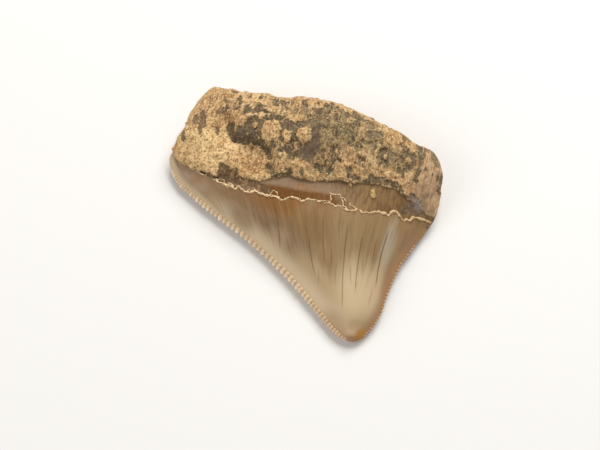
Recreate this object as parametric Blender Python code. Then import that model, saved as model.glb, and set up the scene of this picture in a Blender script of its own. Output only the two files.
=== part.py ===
"""A megalodon tooth from the back of the jaw, as one fossil piece: root, bourlette and serrated crown.

Metres, +Z up. The tooth lies on its labial (outer) face. +Y runs from the tip to the root, and +X
from the mesial shoulder to the distal one. The origin is under the middle of its bounding box.
"""

import bmesh
import bpy
import numpy as np
from mathutils import Matrix, Vector, noise

MM = 0.001

# Driving dimensions, in millimetres. Every place below is a share of half of the tooth's width
# or height, and every height a share of its thickness.
TOOTH_WIDTH = 55.4
TOOTH_HEIGHT = 47.7
TOOTH_THICKNESS = 13.2
SERRATION_PITCH_MESIAL = 0.98
SERRATION_PITCH_DISTAL = 0.86

# The fine mesh: columns from the mesial to the distal edge, and rows from the tip to the root's
# end. It is thinned afterwards to BODY_TRIANGLES, so that flat places get few faces. What comes
# below the ground is then cut off, which leaves three worn flats to lie on.
COLUMNS = 120
CROWN_ROWS = 30
NECK_ROWS = 44
ROOT_ROWS = 46
NECK_START = 0.48
NECK_END = 0.70
BODY_TRIANGLES = 6200

# The two sides of the outline as (row place, x, y). A row place is 0 at the tip, about 0.6 at the
# crown's shoulders and 1 at the root's corners.
MESIAL_SIDE = (
    (0.00, 0.555, -0.992),
    (0.02, 0.500, -0.985),
    (0.06, 0.425, -0.945),
    (0.15, 0.260, -0.785),
    (0.27, 0.000, -0.535),
    (0.40, -0.360, -0.262),
    (0.50, -0.700, -0.050),
    (0.56, -0.905, 0.110),
    (0.60, -0.985, 0.262),
    (0.64, -0.950, 0.370),
    (0.69, -0.918, 0.465),
    (0.77, -0.900, 0.600),
    (0.85, -0.862, 0.745),
    (1.00, -0.762, 0.940),
)
DISTAL_SIDE = (
    (0.00, 0.555, -0.992),
    (0.02, 0.598, -0.965),
    (0.06, 0.640, -0.905),
    (0.15, 0.702, -0.765),
    (0.27, 0.738, -0.550),
    (0.40, 0.795, -0.300),
    (0.50, 0.880, -0.095),
    (0.56, 0.945, 0.055),
    (0.60, 0.984, 0.155),
    (0.64, 0.990, 0.270),
    (0.69, 0.988, 0.400),
    (0.77, 0.968, 0.520),
    (0.85, 0.925, 0.625),
    (1.00, 0.815, 0.720),
)
# The root's end as (column place, height above the chord between its corners), column 0 mesial.
ROOT_END = (
    (0.00, 0.000),
    (0.07, 0.020),
    (0.15, 0.012),
    (0.25, 0.032),
    (0.42, 0.105),
    (0.55, 0.135),
    (0.70, 0.115),
    (0.80, 0.066),
    (0.86, 0.018),
    (0.90, -0.040),
    (0.94, -0.044),
    (1.00, 0.004),
)

# Heights along the middle of the tooth as (row place, share of the thickness).
LINGUAL_CREST = (
    (0.00, 0.133),
    (0.03, 0.215),
    (0.08, 0.280),
    (0.15, 0.355),
    (0.27, 0.470),
    (0.40, 0.580),
    (0.50, 0.655),
    (0.58, 0.715),
    (0.64, 0.800),
    (0.70, 0.870),
    (0.78, 0.915),
    (0.87, 0.905),
    (1.00, 0.860),
)
LABIAL_CREST = (
    (0.00, 0.085),
    (0.04, 0.015),
    (0.10, -0.010),
    (0.18, -0.006),
    (0.30, 0.022),
    (0.48, 0.040),
    (0.58, 0.042),
    (0.63, 0.005),
    (0.68, -0.034),
    (1.00, -0.034),
)
CUTTING_EDGE_HEIGHT = 0.133
ROOT_RIM_HEIGHT = 0.430
LINGUAL_END_ROUNDING = 0.76
LABIAL_END_ROUNDING = 0.86
ROOT_BLEND = 7.0

# Where the enamel ends on the lingual face, and where the root's crust ends above it, as (x, y).
# The bourlette is the smooth band between the two.
ENAMEL_LINE = (
    (-1.00, 0.270),
    (-0.94, 0.250),
    (-0.79, 0.185),
    (-0.71, 0.159),
    (-0.56, 0.100),
    (-0.43, 0.067),
    (-0.35, 0.034),
    (-0.21, 0.004),
    (0.04, 0.012),
    (0.31, 0.017),
    (0.43, 0.042),
    (0.52, 0.046),
    (0.62, 0.084),
    (0.71, 0.117),
    (0.77, 0.063),
    (0.88, 0.109),
    (1.00, 0.140),
)
CRUST_LINE = (
    (-1.00, 0.285),
    (-0.80, 0.210),
    (-0.63, 0.172),
    (-0.45, 0.151),
    (-0.33, 0.109),
    (-0.25, 0.120),
    (-0.14, 0.172),
    (-0.08, 0.197),
    (0.06, 0.178),
    (0.22, 0.205),
    (0.42, 0.240),
    (0.60, 0.250),
    (0.70, 0.245),
    (0.78, 0.195),
    (0.88, 0.225),
    (1.00, 0.200),
)
LABIAL_ENAMEL_Y = 0.345
LEDGE_RISE = 0.42
BOURLETTE_DIP = 0.18
ENAMEL_STEP = 0.18

# The root's boss: its mesial end is a steep nose with a crease under it.
BOSS_CREASE = (
    (-0.569, 0.541),
    (-0.549, 0.470),
    (-0.512, 0.415),
    (-0.449, 0.380),
    (-0.376, 0.373),
    (-0.302, 0.361),
    (-0.256, 0.339),
    (-0.227, 0.291),
)
BOSS_RISE = 1.05
BOSS_CREASE_DEPTH = 0.45
BOSS_CREASE_WIDTH = 1.1

# Places where the crust has gone and the bare root lies lower, and round patches where it is
# thicker: two ends of each as (x, y), and half of its width in millimetres.
BARE_PATCHES = (
    ((-0.539, 0.496), (-0.469, 0.420), 0.68),
    ((-0.471, 0.433), (-0.374, 0.414), 0.88),
    ((-0.373, 0.407), (-0.261, 0.377), 0.62),
    ((-0.435, 0.477), (-0.344, 0.501), 0.58),
    ((-0.434, 0.559), (-0.336, 0.579), 0.49),
    ((-0.662, 0.611), (-0.597, 0.660), 0.60),
    ((-0.439, 0.650), (-0.354, 0.692), 0.50),
    ((0.095, 0.834), (0.172, 0.797), 0.58),
    ((0.211, 0.772), (0.343, 0.745), 0.70),
    ((-0.152, 0.588), (-0.003, 0.628), 0.58),
    ((0.026, 0.660), (0.071, 0.432), 0.72),
    ((-0.057, 0.433), (0.085, 0.427), 0.64),
    ((0.018, 0.406), (0.026, 0.315), 0.78),
    ((-0.147, 0.374), (-0.090, 0.370), 0.60),
    ((-0.241, 0.248), (-0.205, 0.200), 0.55),
    ((0.090, 0.306), (0.213, 0.289), 0.42),
    ((0.215, 0.590), (0.294, 0.632), 0.74),
    ((0.430, 0.623), (0.510, 0.665), 0.52),
    ((0.431, 0.570), (0.456, 0.543), 0.58),
    ((0.516, 0.432), (0.600, 0.486), 0.55),
    ((0.700, 0.530), (0.745, 0.440), 0.70),
    ((0.467, 0.299), (0.672, 0.273), 0.50),
    ((0.792, 0.226), (0.861, 0.182), 0.68),
    ((0.759, 0.145), (0.870, 0.146), 0.68),
    ((-0.852, 0.578), (-0.803, 0.528), 0.58),
    ((-0.578, 0.206), (-0.461, 0.169), 0.62),
    ((-0.425, 0.131), (-0.254, 0.057), 0.55),
)
THICK_PATCHES = (
    ((-0.250, 0.491), (-0.250, 0.491), 1.70),
    ((-0.136, 0.483), (-0.136, 0.483), 0.94),
    ((-0.038, 0.540), (-0.022, 0.480), 0.86),
    ((-0.374, 0.548), (-0.374, 0.548), 0.55),
    ((0.505, 0.216), (0.517, 0.194), 0.60),
)
BARE_DEPTH = 0.34
THICK_RISE = 0.26
PATCH_EDGE = 0.22

# Lumps of the weathered root: (length, height) of each size of lump, in millimetres.
LUMPS = ((9.0, 0.55), (4.2, 0.34), (1.9, 0.26), (1.1, 0.16))
LABIAL_LUMPS = 0.5
RIM_RISE = 0.15

# Serrations as ribs half sunk in the cutting edges. The first three are half lengths.
RIB_ALONG = 0.40
RIB_OUT = 0.92
RIB_THROUGH = 0.42
RIB_SUNK = 0.42
RIB_TILT = np.radians(24.0)
RIB_SEGMENTS = 5
RIB_RINGS = 4
MESIAL_RIBS = (0.030, 0.575)
DISTAL_RIBS = (0.050, 0.500)
DISTAL_RIB_SCALE = 0.62

GROUND_DEPTH = 20.0
ENAMEL_COLOUR = (0.42, 0.31, 0.18, 1.0)


def smoothstep(low, high, x):
    """0 at low and 1 at high, with a smooth change between them."""
    t = np.clip((x - low) / (high - low), 0.0, 1.0)
    return t * t * (3.0 - 2.0 * t)


def along(keys, at):
    """Values on a smooth curve through the keys, each a place followed by its values."""
    keys = np.array(keys, float)
    place, value = keys[:, 0], keys[:, 1:]
    at = np.asarray(at, float)
    slope = np.gradient(value, place, axis=0)
    i = np.clip(np.searchsorted(place, at, side="right") - 1, 0, len(place) - 2)
    span = (place[i + 1] - place[i])[..., None]
    t = (at - place[i])[..., None] / span
    start = (2 * t**3 - 3 * t**2 + 1) * value[i] + (t**3 - 2 * t**2 + t) * span * slope[i]
    end = (3 * t**2 - 2 * t**3) * value[i + 1] + (t**3 - t**2) * span * slope[i + 1]
    return start + end


def row_places():
    """Row places from the tip to the root's end, close together at the neck and round the end."""
    crown = np.linspace(0.0, 1.0, CROWN_ROWS, endpoint=False) ** 1.25 * NECK_START
    neck = np.linspace(NECK_START, NECK_END, NECK_ROWS, endpoint=False)
    turn = np.linspace(0.0, 1.0, ROOT_ROWS)
    root = NECK_END + (1.0 - NECK_END) * np.sin(turn * np.pi / 2)
    return np.concatenate([crown, neck, root])


def column_places():
    """Column places from -1 at the mesial edge to 1 at the distal one, closest at the edges."""
    even = np.linspace(-1.0, 1.0, COLUMNS + 1)
    return 0.45 * even + 0.55 * np.sin(even * np.pi / 2)


def plan(row, column):
    """x and y in millimetres of a row and column place."""
    share = (column + 1.0) / 2.0
    chord = along(MESIAL_SIDE, row) * (1.0 - share)[..., None] + along(DISTAL_SIDE, row) * share[..., None]
    bow = along(ROOT_END, share)[..., 0] * row**4
    x = chord[..., 0] * TOOTH_WIDTH / 2
    y = (chord[..., 1] + bow) * TOOTH_HEIGHT / 2
    return x, y


def line_y(line, x):
    """The height in millimetres of a line across the tooth."""
    return along(line, x / (TOOTH_WIDTH / 2))[..., 0] * TOOTH_HEIGHT / 2


def rounded(place, power):
    """A quarter of a superellipse: 1 in the middle, falling upright to 0 at place 1."""
    return np.clip(1.0 - np.abs(place) ** power, 0.0, 1.0) ** (1.0 / power)


def end_rounding(row, start, power):
    """1 over most of the root, falling upright to 0 at its end."""
    return rounded(np.clip((row - start) / (1.0 - start), 0.0, 1.0), power)


def distance_to_path(path, x, y):
    """Distance in millimetres to a path through (x, y) points, and the side, 1 on its left."""
    points = np.array(path) * (TOOTH_WIDTH / 2, TOOTH_HEIGHT / 2)
    best = np.full(x.shape, np.inf)
    side = np.ones(x.shape)
    for start, end in zip(points[:-1], points[1:]):
        run = end - start
        length = max(run @ run, 1e-9)
        t = np.clip(((x - start[0]) * run[0] + (y - start[1]) * run[1]) / length, 0.0, 1.0)
        dx, dy = x - start[0] - t * run[0], y - start[1] - t * run[1]
        gap = np.hypot(dx, dy)
        nearer = gap < best
        best = np.where(nearer, gap, best)
        side = np.where(nearer, np.sign(run[0] * dy - run[1] * dx), side)
    return best, side


def noise_at(points, length):
    """Smooth noise between about -1 and 1 at each point, with lumps of about this length."""
    flat = points.reshape(-1, 3) / length
    return np.array([noise.noise(Vector(p)) for p in flat]).reshape(points.shape[:-1])


def covered(patches, x, y, wobble):
    """1 inside a set of patches and 0 outside, with a wavering edge."""
    cover = np.zeros(x.shape)
    for start, end, half_width in patches:
        gap, _ = distance_to_path((start, end), x, y)
        cover = np.maximum(cover, smoothstep(PATCH_EDGE, -PATCH_EDGE, gap - half_width + wobble))
    return cover


def rim_height(row):
    """Height in millimetres of the edge where the two faces meet."""
    share = CUTTING_EDGE_HEIGHT + (ROOT_RIM_HEIGHT - CUTTING_EDGE_HEIGHT) * smoothstep(0.555, 0.70, row)
    return share * TOOTH_THICKNESS


def lingual_height(row, column, x, y):
    """The smooth lingual face, a lens on the crown that swells into the round root.

    Gives heights in millimetres, and shares that go from 0 at the rim to 1 at the crest.
    """
    room = np.clip(1.0 - column**2, 0.0, 1.0)
    full = 0.7 * smoothstep(0.20, 0.56, row)
    lens = (0.55 * room + 0.45 * room**2) * (1.0 - full) + (1.0 - np.abs(column) ** 3) * full
    on_root = smoothstep(-0.6, ROOT_BLEND, y - line_y(ENAMEL_LINE, x))
    share = lens * (1.0 - on_root) + rounded(column, 2.3) * on_root
    share = share * end_rounding(row, LINGUAL_END_ROUNDING, 2.2)
    rim = rim_height(row)
    return rim + (along(LINGUAL_CREST, row)[..., 0] * TOOTH_THICKNESS - rim) * share, share


def labial_height(row, column):
    """The smooth labial face, nearly flat from the root's lobes to the tip, as heights and shares."""
    on_root = smoothstep(0.58, 0.68, row)
    share = (1.0 - column**4) * (1.0 - on_root) + rounded(column, 3.0) * on_root
    share = share * end_rounding(row, LABIAL_END_ROUNDING, 2.4)
    rim = rim_height(row)
    return rim - (rim - along(LABIAL_CREST, row)[..., 0] * TOOTH_THICKNESS) * share, share


def lumps(points):
    """Weathered lumps and pits of the root, in millimetres."""
    return sum(height * noise_at(points, length) for length, height in LUMPS)


def lingual_relief(points, row):
    """How far the lingual face stands proud of its smooth shape, in millimetres."""
    x, y = points[..., 0], points[..., 1]
    wobble = 0.35 * noise_at(points, 1.3)
    past_enamel = smoothstep(-0.12, 0.16, y - line_y(ENAMEL_LINE, x))
    crust = smoothstep(-0.22, 0.22, y - line_y(CRUST_LINE, x) + wobble)
    relief = LEDGE_RISE * crust - (ENAMEL_STEP + BOURLETTE_DIP * (1.0 - crust)) * past_enamel
    gap, side = distance_to_path(BOSS_CREASE, x, y)
    near_boss = smoothstep(16.0, 2.0, x) * smoothstep(19.0, 13.5, y) * smoothstep(3.0, 9.0, y)
    relief += BOSS_RISE * smoothstep(-0.3, 2.2, gap * side) * near_boss * crust
    relief -= BOSS_CREASE_DEPTH * np.exp(-((gap / BOSS_CREASE_WIDTH) ** 2)) * crust
    upper = crust * smoothstep(0.98, 0.90, row)
    relief -= BARE_DEPTH * covered(BARE_PATCHES, x, y, wobble) * upper
    relief += THICK_RISE * covered(THICK_PATCHES, x, y, 0.5 * wobble) * upper
    return relief + lumps(points) * crust


def labial_relief(points):
    """How far the labial face stands proud: the enamel's step, a hollow between the lobes, lumps."""
    x, y = points[..., 0], points[..., 1]
    half_width, half_height = TOOTH_WIDTH / 2, TOOTH_HEIGHT / 2
    past_enamel = smoothstep(-0.5, 0.7, y - LABIAL_ENAMEL_Y * half_height)
    hollow = 0.9 * np.exp(-((x / (0.24 * half_width)) ** 2)) * smoothstep(0.40, 0.65, y / half_height)
    return (LABIAL_LUMPS * lumps(points) - ENAMEL_STEP - hollow) * past_enamel


def outward(points, up):
    """Unit normals of a grid of points, on the upper or the lower side."""
    along_rows, along_columns = np.gradient(points, axis=0), np.gradient(points, axis=1)
    normal = np.cross(along_columns, along_rows) * (1.0 if up else -1.0)
    return normal / np.maximum(np.linalg.norm(normal, axis=-1, keepdims=True), 1e-9)


def rim_relief(points):
    """How far the root's rim stands proud, where both faces have the same relief."""
    x, y = points[..., 0], points[..., 1]
    return (RIM_RISE + lumps(points)) * smoothstep(-0.22, 0.22, y - line_y(CRUST_LINE, x))


def faces_of_tooth():
    """Points of the lingual and the labial face, on the same rows and columns, in millimetres."""
    row, column = np.meshgrid(row_places(), column_places(), indexing="ij")
    x, y = plan(row, column)
    height, share = lingual_height(row, column, x, y)
    top = np.stack([x, y, height], axis=-1)
    from_rim = smoothstep(0.0, 0.6, share)
    relief = lingual_relief(top, row) * from_rim + rim_relief(top) * (1.0 - from_rim)
    top_offset = outward(top, True) * relief[..., None]
    height, share = labial_height(row, column)
    bottom = np.stack([x, y, height], axis=-1)
    from_rim = smoothstep(0.0, 0.6, share)
    relief = labial_relief(bottom) * from_rim + rim_relief(bottom) * (1.0 - from_rim)
    bottom_offset = outward(bottom, False) * relief[..., None]
    shared = (top_offset + bottom_offset) / 2
    for corner, beside in ((0, 2), (-1, -3)):
        shared[-1, corner] = (shared[-1, beside] + shared[-6, corner]) / 2
    for offset in (top_offset, bottom_offset):
        offset[:, 0], offset[:, -1], offset[-1] = shared[:, 0], shared[:, -1], shared[-1]
        offset[0] = 0.0
    return top + top_offset, bottom + bottom_offset


def add_body(mesh):
    """The tooth without its serrations: a loft of rows whose two faces share their edge points."""
    top, bottom = faces_of_tooth()
    rows, columns = top.shape[:2]
    last_row, last_column = rows - 1, columns - 1
    tip = mesh.verts.new(top[0, 0] * MM)
    upper = [[tip] * columns]
    lower = [[tip] * columns]
    for r in range(1, rows):
        upper.append([mesh.verts.new(top[r, c] * MM) for c in range(columns)])
        lower.append(list(upper[r]))
        if r < last_row:
            for c in range(1, last_column):
                lower[r][c] = mesh.verts.new(bottom[r, c] * MM)
    for r in range(last_row):
        for c in range(last_column):
            for grid, turned in ((upper, False), (lower, True)):
                corners = [grid[r][c], grid[r][c + 1], grid[r + 1][c + 1], grid[r + 1][c]]
                corners = list(dict.fromkeys(corners))
                mesh.faces.new(corners[::-1] if turned else corners)


def rib_places(side, reach, pitch):
    """Row places, middles and directions of the ribs along one cutting edge, unevenly spaced."""
    rows = np.linspace(*reach, 400)
    line = along(side, rows) * (TOOTH_WIDTH / 2, TOOTH_HEIGHT / 2)
    run = np.concatenate([[0.0], np.cumsum(np.linalg.norm(np.diff(line, axis=0), axis=1))])
    count = round(run[-1] / pitch)
    uneven = np.array([noise.noise(Vector((1.37 * k, 0.5, 0.5))) for k in range(count)])
    stops = (np.arange(count) + 0.5 + 0.35 * uneven) * run[-1] / count
    row = np.interp(stops, run, rows)
    here = along(side, row) * (TOOTH_WIDTH / 2, TOOTH_HEIGHT / 2)
    ahead = along(side, row + 0.001) * (TOOTH_WIDTH / 2, TOOTH_HEIGHT / 2)
    direction = (ahead - here) / np.linalg.norm(ahead - here, axis=1)[:, None]
    return row, here, direction, 1.0 + 0.3 * uneven


def add_ribs(mesh, side, reach, pitch, turn, scale):
    """Serration ribs along one edge. turn is the sign that turns the edge's run to its outside."""
    row, places, directions, uneven = rib_places(side, reach, pitch)
    sizes = scale * uneven * (0.62 + 0.38 * smoothstep(0.02, 0.20, row))
    for place_row, (x, y), (run_x, run_y), size in zip(row, places, directions, sizes):
        run = Vector((run_x, run_y, 0.0))
        out = Vector((-run_y, run_x, 0.0)) * turn
        out = out * np.cos(RIB_TILT) - Vector((0.0, 0.0, np.sin(RIB_TILT)))
        turned = Matrix((run, out, run.cross(out))).transposed().to_4x4()
        stretch = Matrix.Diagonal((RIB_ALONG * size, RIB_OUT * size, RIB_THROUGH * size, 1.0))
        middle = Vector((x, y, rim_height(place_row))) - out * RIB_SUNK * size
        bmesh.ops.create_uvsphere(
            mesh,
            u_segments=RIB_SEGMENTS,
            v_segments=RIB_RINGS,
            radius=MM,
            matrix=Matrix.Translation(middle * MM) @ turned @ stretch,
        )


def enamel():
    """The crown's brown-grey enamel, which gives the whole piece its colour here."""
    material = bpy.data.materials.new("enamel")
    material.use_nodes = True
    shader = material.node_tree.nodes["Principled BSDF"]
    shader.inputs["Base Color"].default_value = ENAMEL_COLOUR
    shader.inputs["Roughness"].default_value = 0.35
    shader.inputs["Metallic"].default_value = 0.0
    return material


def new_object(name, mesh, collection):
    bmesh.ops.recalc_face_normals(mesh, faces=mesh.faces)
    data = bpy.data.meshes.new(name)
    mesh.to_mesh(data)
    mesh.free()
    made = bpy.data.objects.new(name, data)
    collection.objects.link(made)
    return made


def new_collection(name):
    made = bpy.data.collections.new(name)
    bpy.context.scene.collection.children.link(made)
    return made


def combine(solid, helper, name, operation):
    """Joins a helper solid to another or cuts it away, and hides the helper."""
    helper.hide_render = True
    helper.display_type = "WIRE"
    step = solid.modifiers.new(name, "BOOLEAN")
    step.operation = operation
    step.solver = "EXACT"
    step.object = helper


def main():
    for old in list(bpy.data.objects):
        bpy.data.objects.remove(old)
    parts, helpers = new_collection("megalodon_tooth"), new_collection("joined_shapes")

    body = bmesh.new()
    add_body(body)
    fine_triangles = sum(len(face.verts) - 2 for face in body.faces)
    tooth = new_object("tooth", body, parts)
    tooth.data.materials.append(enamel())
    thin = tooth.modifiers.new("thin_out", "DECIMATE")
    thin.ratio = BODY_TRIANGLES / fine_triangles

    below = bmesh.new()
    size = Matrix.Diagonal((2 * TOOTH_WIDTH, 2 * TOOTH_HEIGHT, GROUND_DEPTH, 1.0))
    middle = Matrix.Translation((0.0, 0.0, -GROUND_DEPTH / 2 * MM))
    bmesh.ops.create_cube(below, size=MM, matrix=middle @ size)
    ground = new_object("below_the_ground", below, helpers)
    combine(tooth, ground, "flats", "DIFFERENCE")

    ribs = bmesh.new()
    add_ribs(ribs, MESIAL_SIDE, MESIAL_RIBS, SERRATION_PITCH_MESIAL, 1.0, 1.0)
    add_ribs(ribs, DISTAL_SIDE, DISTAL_RIBS, SERRATION_PITCH_DISTAL, -1.0, DISTAL_RIB_SCALE)
    serrations = new_object("serration_ribs", ribs, helpers)
    combine(tooth, serrations, "serrations", "UNION")


main()
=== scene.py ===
"""A fossil megalodon tooth on a pale floor: sand-crusted root, bourlette, enamel crown and serrations.

The tooth lies on its labial face. +Y runs from the tip to the root, +X from the mesial shoulder to
the distal one, and +Z up out of the lingual face. Shapes are worked out in millimetres.
"""

import bpy
import numpy as np
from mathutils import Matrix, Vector, noise


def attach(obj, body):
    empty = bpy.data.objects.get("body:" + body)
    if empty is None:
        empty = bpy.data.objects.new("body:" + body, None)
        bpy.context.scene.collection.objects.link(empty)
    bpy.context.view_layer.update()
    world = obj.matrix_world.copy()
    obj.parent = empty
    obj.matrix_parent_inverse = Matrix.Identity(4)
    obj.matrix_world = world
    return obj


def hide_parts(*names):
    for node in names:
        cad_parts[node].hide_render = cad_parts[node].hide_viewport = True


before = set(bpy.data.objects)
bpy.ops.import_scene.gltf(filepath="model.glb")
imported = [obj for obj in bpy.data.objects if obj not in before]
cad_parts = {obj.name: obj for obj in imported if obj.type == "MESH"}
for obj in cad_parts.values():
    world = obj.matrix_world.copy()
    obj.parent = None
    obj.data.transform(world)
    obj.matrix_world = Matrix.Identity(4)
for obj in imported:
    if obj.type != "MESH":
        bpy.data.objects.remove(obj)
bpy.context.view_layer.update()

MM = 0.001
ROOT_BODY, SLOT = "root", "enamel"

# Sizes of the tooth in millimetres.
HALF_WIDTH, HALF_HEIGHT, THICKNESS = 27.7, 23.85, 13.2

# The sides from the tip to the root as (row place, mesial x and y, distal x and y), the root's end as
# (share across, y), and the crests of the faces as (row place, height). x and y are shares of half the
# width or height, and heights are shares of the thickness.
SIDES = (
    (0, 0.555, -0.992, 0.555, -0.992), (0.02, 0.5, -0.985, 0.598, -0.965),
    (0.06, 0.425, -0.945, 0.64, -0.905), (0.15, 0.26, -0.785, 0.702, -0.765),
    (0.27, 0, -0.535, 0.738, -0.55), (0.4, -0.36, -0.262, 0.795, -0.3), (0.5, -0.7, -0.05, 0.88, -0.095),
    (0.56, -0.905, 0.11, 0.945, 0.055), (0.6, -0.985, 0.262, 0.984, 0.155), (0.64, -0.95, 0.37, 0.99, 0.27),
    (0.69, -0.918, 0.465, 0.988, 0.4), (0.77, -0.9, 0.6, 0.968, 0.52), (0.85, -0.862, 0.745, 0.925, 0.625),
    (1, -0.762, 0.94, 0.815, 0.72),
)
ROOT_END = (
    (0, 0), (0.07, 0.02), (0.15, 0.012), (0.25, 0.032), (0.42, 0.105), (0.55, 0.135), (0.7, 0.115),
    (0.8, 0.066), (0.86, 0.018), (0.9, -0.04), (0.94, -0.044), (1, 0.004),
)
LINGUAL_CREST = (
    (0, 0.133), (0.03, 0.215), (0.08, 0.28), (0.15, 0.355), (0.27, 0.47), (0.4, 0.58), (0.5, 0.655),
    (0.58, 0.715), (0.64, 0.8), (0.7, 0.87), (0.78, 0.915), (0.87, 0.905), (1, 0.86),
)
LABIAL_CREST = (
    (0, 0.085), (0.04, 0.015), (0.1, -0.01), (0.18, -0.006), (0.3, 0.022), (0.48, 0.04), (0.58, 0.042),
    (0.63, 0.005), (0.68, -0.034), (1, -0.034),
)
# The edge where the faces meet climbs to the root between two row places.
CUTTING_EDGE_HEIGHT, ROOT_RIM_HEIGHT = 0.133, 0.43
RIM_CLIMB = (0.555, 0.7)
# How fully the faces round over at the root's sides and at its end, and the row place from which they
# do so at its end. Over the blend, in millimetres, the crown's section turns into the root's.
LINGUAL_SIDE_POWER, LINGUAL_END_POWER, LINGUAL_END_ROUNDING = 2.3, 2.2, 0.76
LABIAL_SIDE_POWER, LABIAL_END_POWER, LABIAL_END_ROUNDING = 3.0, 2.4, 0.86
ROOT_BLEND = 7.0

# Lines across the tooth as (x, y) in millimetres: the enamel's ragged end on each face, its smooth
# run, and the lower edge of the root's crust. The bourlette is the smooth band under the crust.
ENAMEL_LINE = (
    (-28.5, 8.8), (-26.9, 8.5), (-26.3, 7.3), (-25.6, 6.2), (-24.6, 5.7), (-23.3, 5.4), (-22.7, 5.1),
    (-22, 4.4), (-21, 3.9), (-20.1, 3.6), (-19.2, 3.2), (-18.5, 3.1), (-17.8, 2.6), (-16.9, 2.3),
    (-15.8, 2.1), (-15, 1.8), (-14, 1.2), (-13.6, 1.3), (-13.3, 1.6), (-12.8, 1.1), (-12.2, 0.9),
    (-11.8, 1.2), (-11.1, 1), (-10.5, 0.6), (-9.6, 0.5), (-9, 0.3), (-8.3, 0.9), (-7.6, 0.5), (-6.8, 0.4),
    (-5.7, -0.1), (-5.2, 0.3), (-4.4, 0.1), (-3.8, 0.2), (-3.4, -0.1), (-2.9, -0.4), (-2.6, -0.2), (-2.2, 0),
    (-1.7, 0.3), (-1, 0.6), (-0.3, 0.4), (0.3, 0.15), (1.1, 0.1), (1.8, 0.5), (2.5, 0.7), (3.2, 0.6),
    (4.2, 0.6), (4.9, 0.6), (5.7, 0.5), (6.3, 0.8), (6.7, 0.5), (7.5, 0.4), (8.3, 0.5), (9.1, 0.3), (9.7, 0),
    (10.3, 0), (10.9, 0.3), (11.6, 0.6), (12.4, 0.5), (13.1, 0.2), (13.8, 0.5), (14.4, 0.5), (15.1, 1),
    (15.9, 1.3), (16.5, 1.3), (17.3, 1.3), (17.9, 1), (18.4, 1.9), (18.9, 2.2), (19.6, 2.2), (20, 2),
    (20.5, 1.7), (20.8, 1.3), (21.2, 1), (21.6, 1.5), (22.2, 1.6), (22.7, 2.1), (23.4, 2.5), (24.3, 2.4),
    (25.1, 2.7), (25.8, 2.6), (28.5, 2.8),
)
LABIAL_ENAMEL_LINE = (
    (-28.5, 8.8), (-26.5, 8.5), (-24, 8), (-18, 8.2), (-6, 8.4), (6, 8.4), (18, 7.8), (23, 6.2), (25.5, 3.8),
    (28.5, 2.8),
)
SOFT_ENAMEL_LINE = (
    (-27.7, 6.44), (-26.04, 5.96), (-21.88, 4.41), (-19.67, 3.79), (-15.51, 2.39), (-11.91, 1.6),
    (-9.7, 0.81), (-5.82, 0.1), (1.11, 0.29), (8.59, 0.41), (11.91, 1), (14.4, 1.1), (17.17, 2),
    (19.67, 2.79), (21.33, 1.5), (24.38, 2.6), (27.7, 3.34),
)
CRUST_LINE = (
    (-28.5, 8.6), (-26.9, 8.3), (-26.2, 7.1), (-25.5, 6.1), (-24.6, 5.6), (-23.4, 5.2), (-21.5, 4.1),
    (-20.2, 4), (-19.2, 3.7), (-18, 3.2), (-17.2, 3), (-15, 3.4), (-11.5, 3), (-9, 2.6), (-7, 2.9),
    (-5.8, 3.6), (-4, 4.1), (-2.1, 4.8), (-0.1, 4.4), (2.3, 4.3), (4.7, 4.8), (7.6, 5.3), (9.6, 5.4),
    (11.5, 5.7), (13.8, 5.9), (16.4, 6), (19, 6), (19.8, 5.6), (21.2, 4.8), (23, 4.2), (24.6, 4), (26, 3.6),
    (28.5, 3.4),
)
CRUST_FADE, LEDGE_RISE, BOURLETTE_DIP, ENAMEL_STEP = 0.22, 0.42, 0.18, 0.18

# The boss of the root, whose mesial end is a steep nose with a crease under it.
BOSS_CREASE = (
    (-15.76, 12.9), (-15.21, 11.21), (-14.18, 9.9), (-12.44, 9.06), (-10.42, 8.9), (-8.37, 8.61),
    (-7.09, 8.09), (-6.29, 6.94),
)
BOSS_RISE, BOSS_CREASE_DEPTH, BOSS_CREASE_WIDTH = 1.05, 0.45, 1.1

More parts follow.
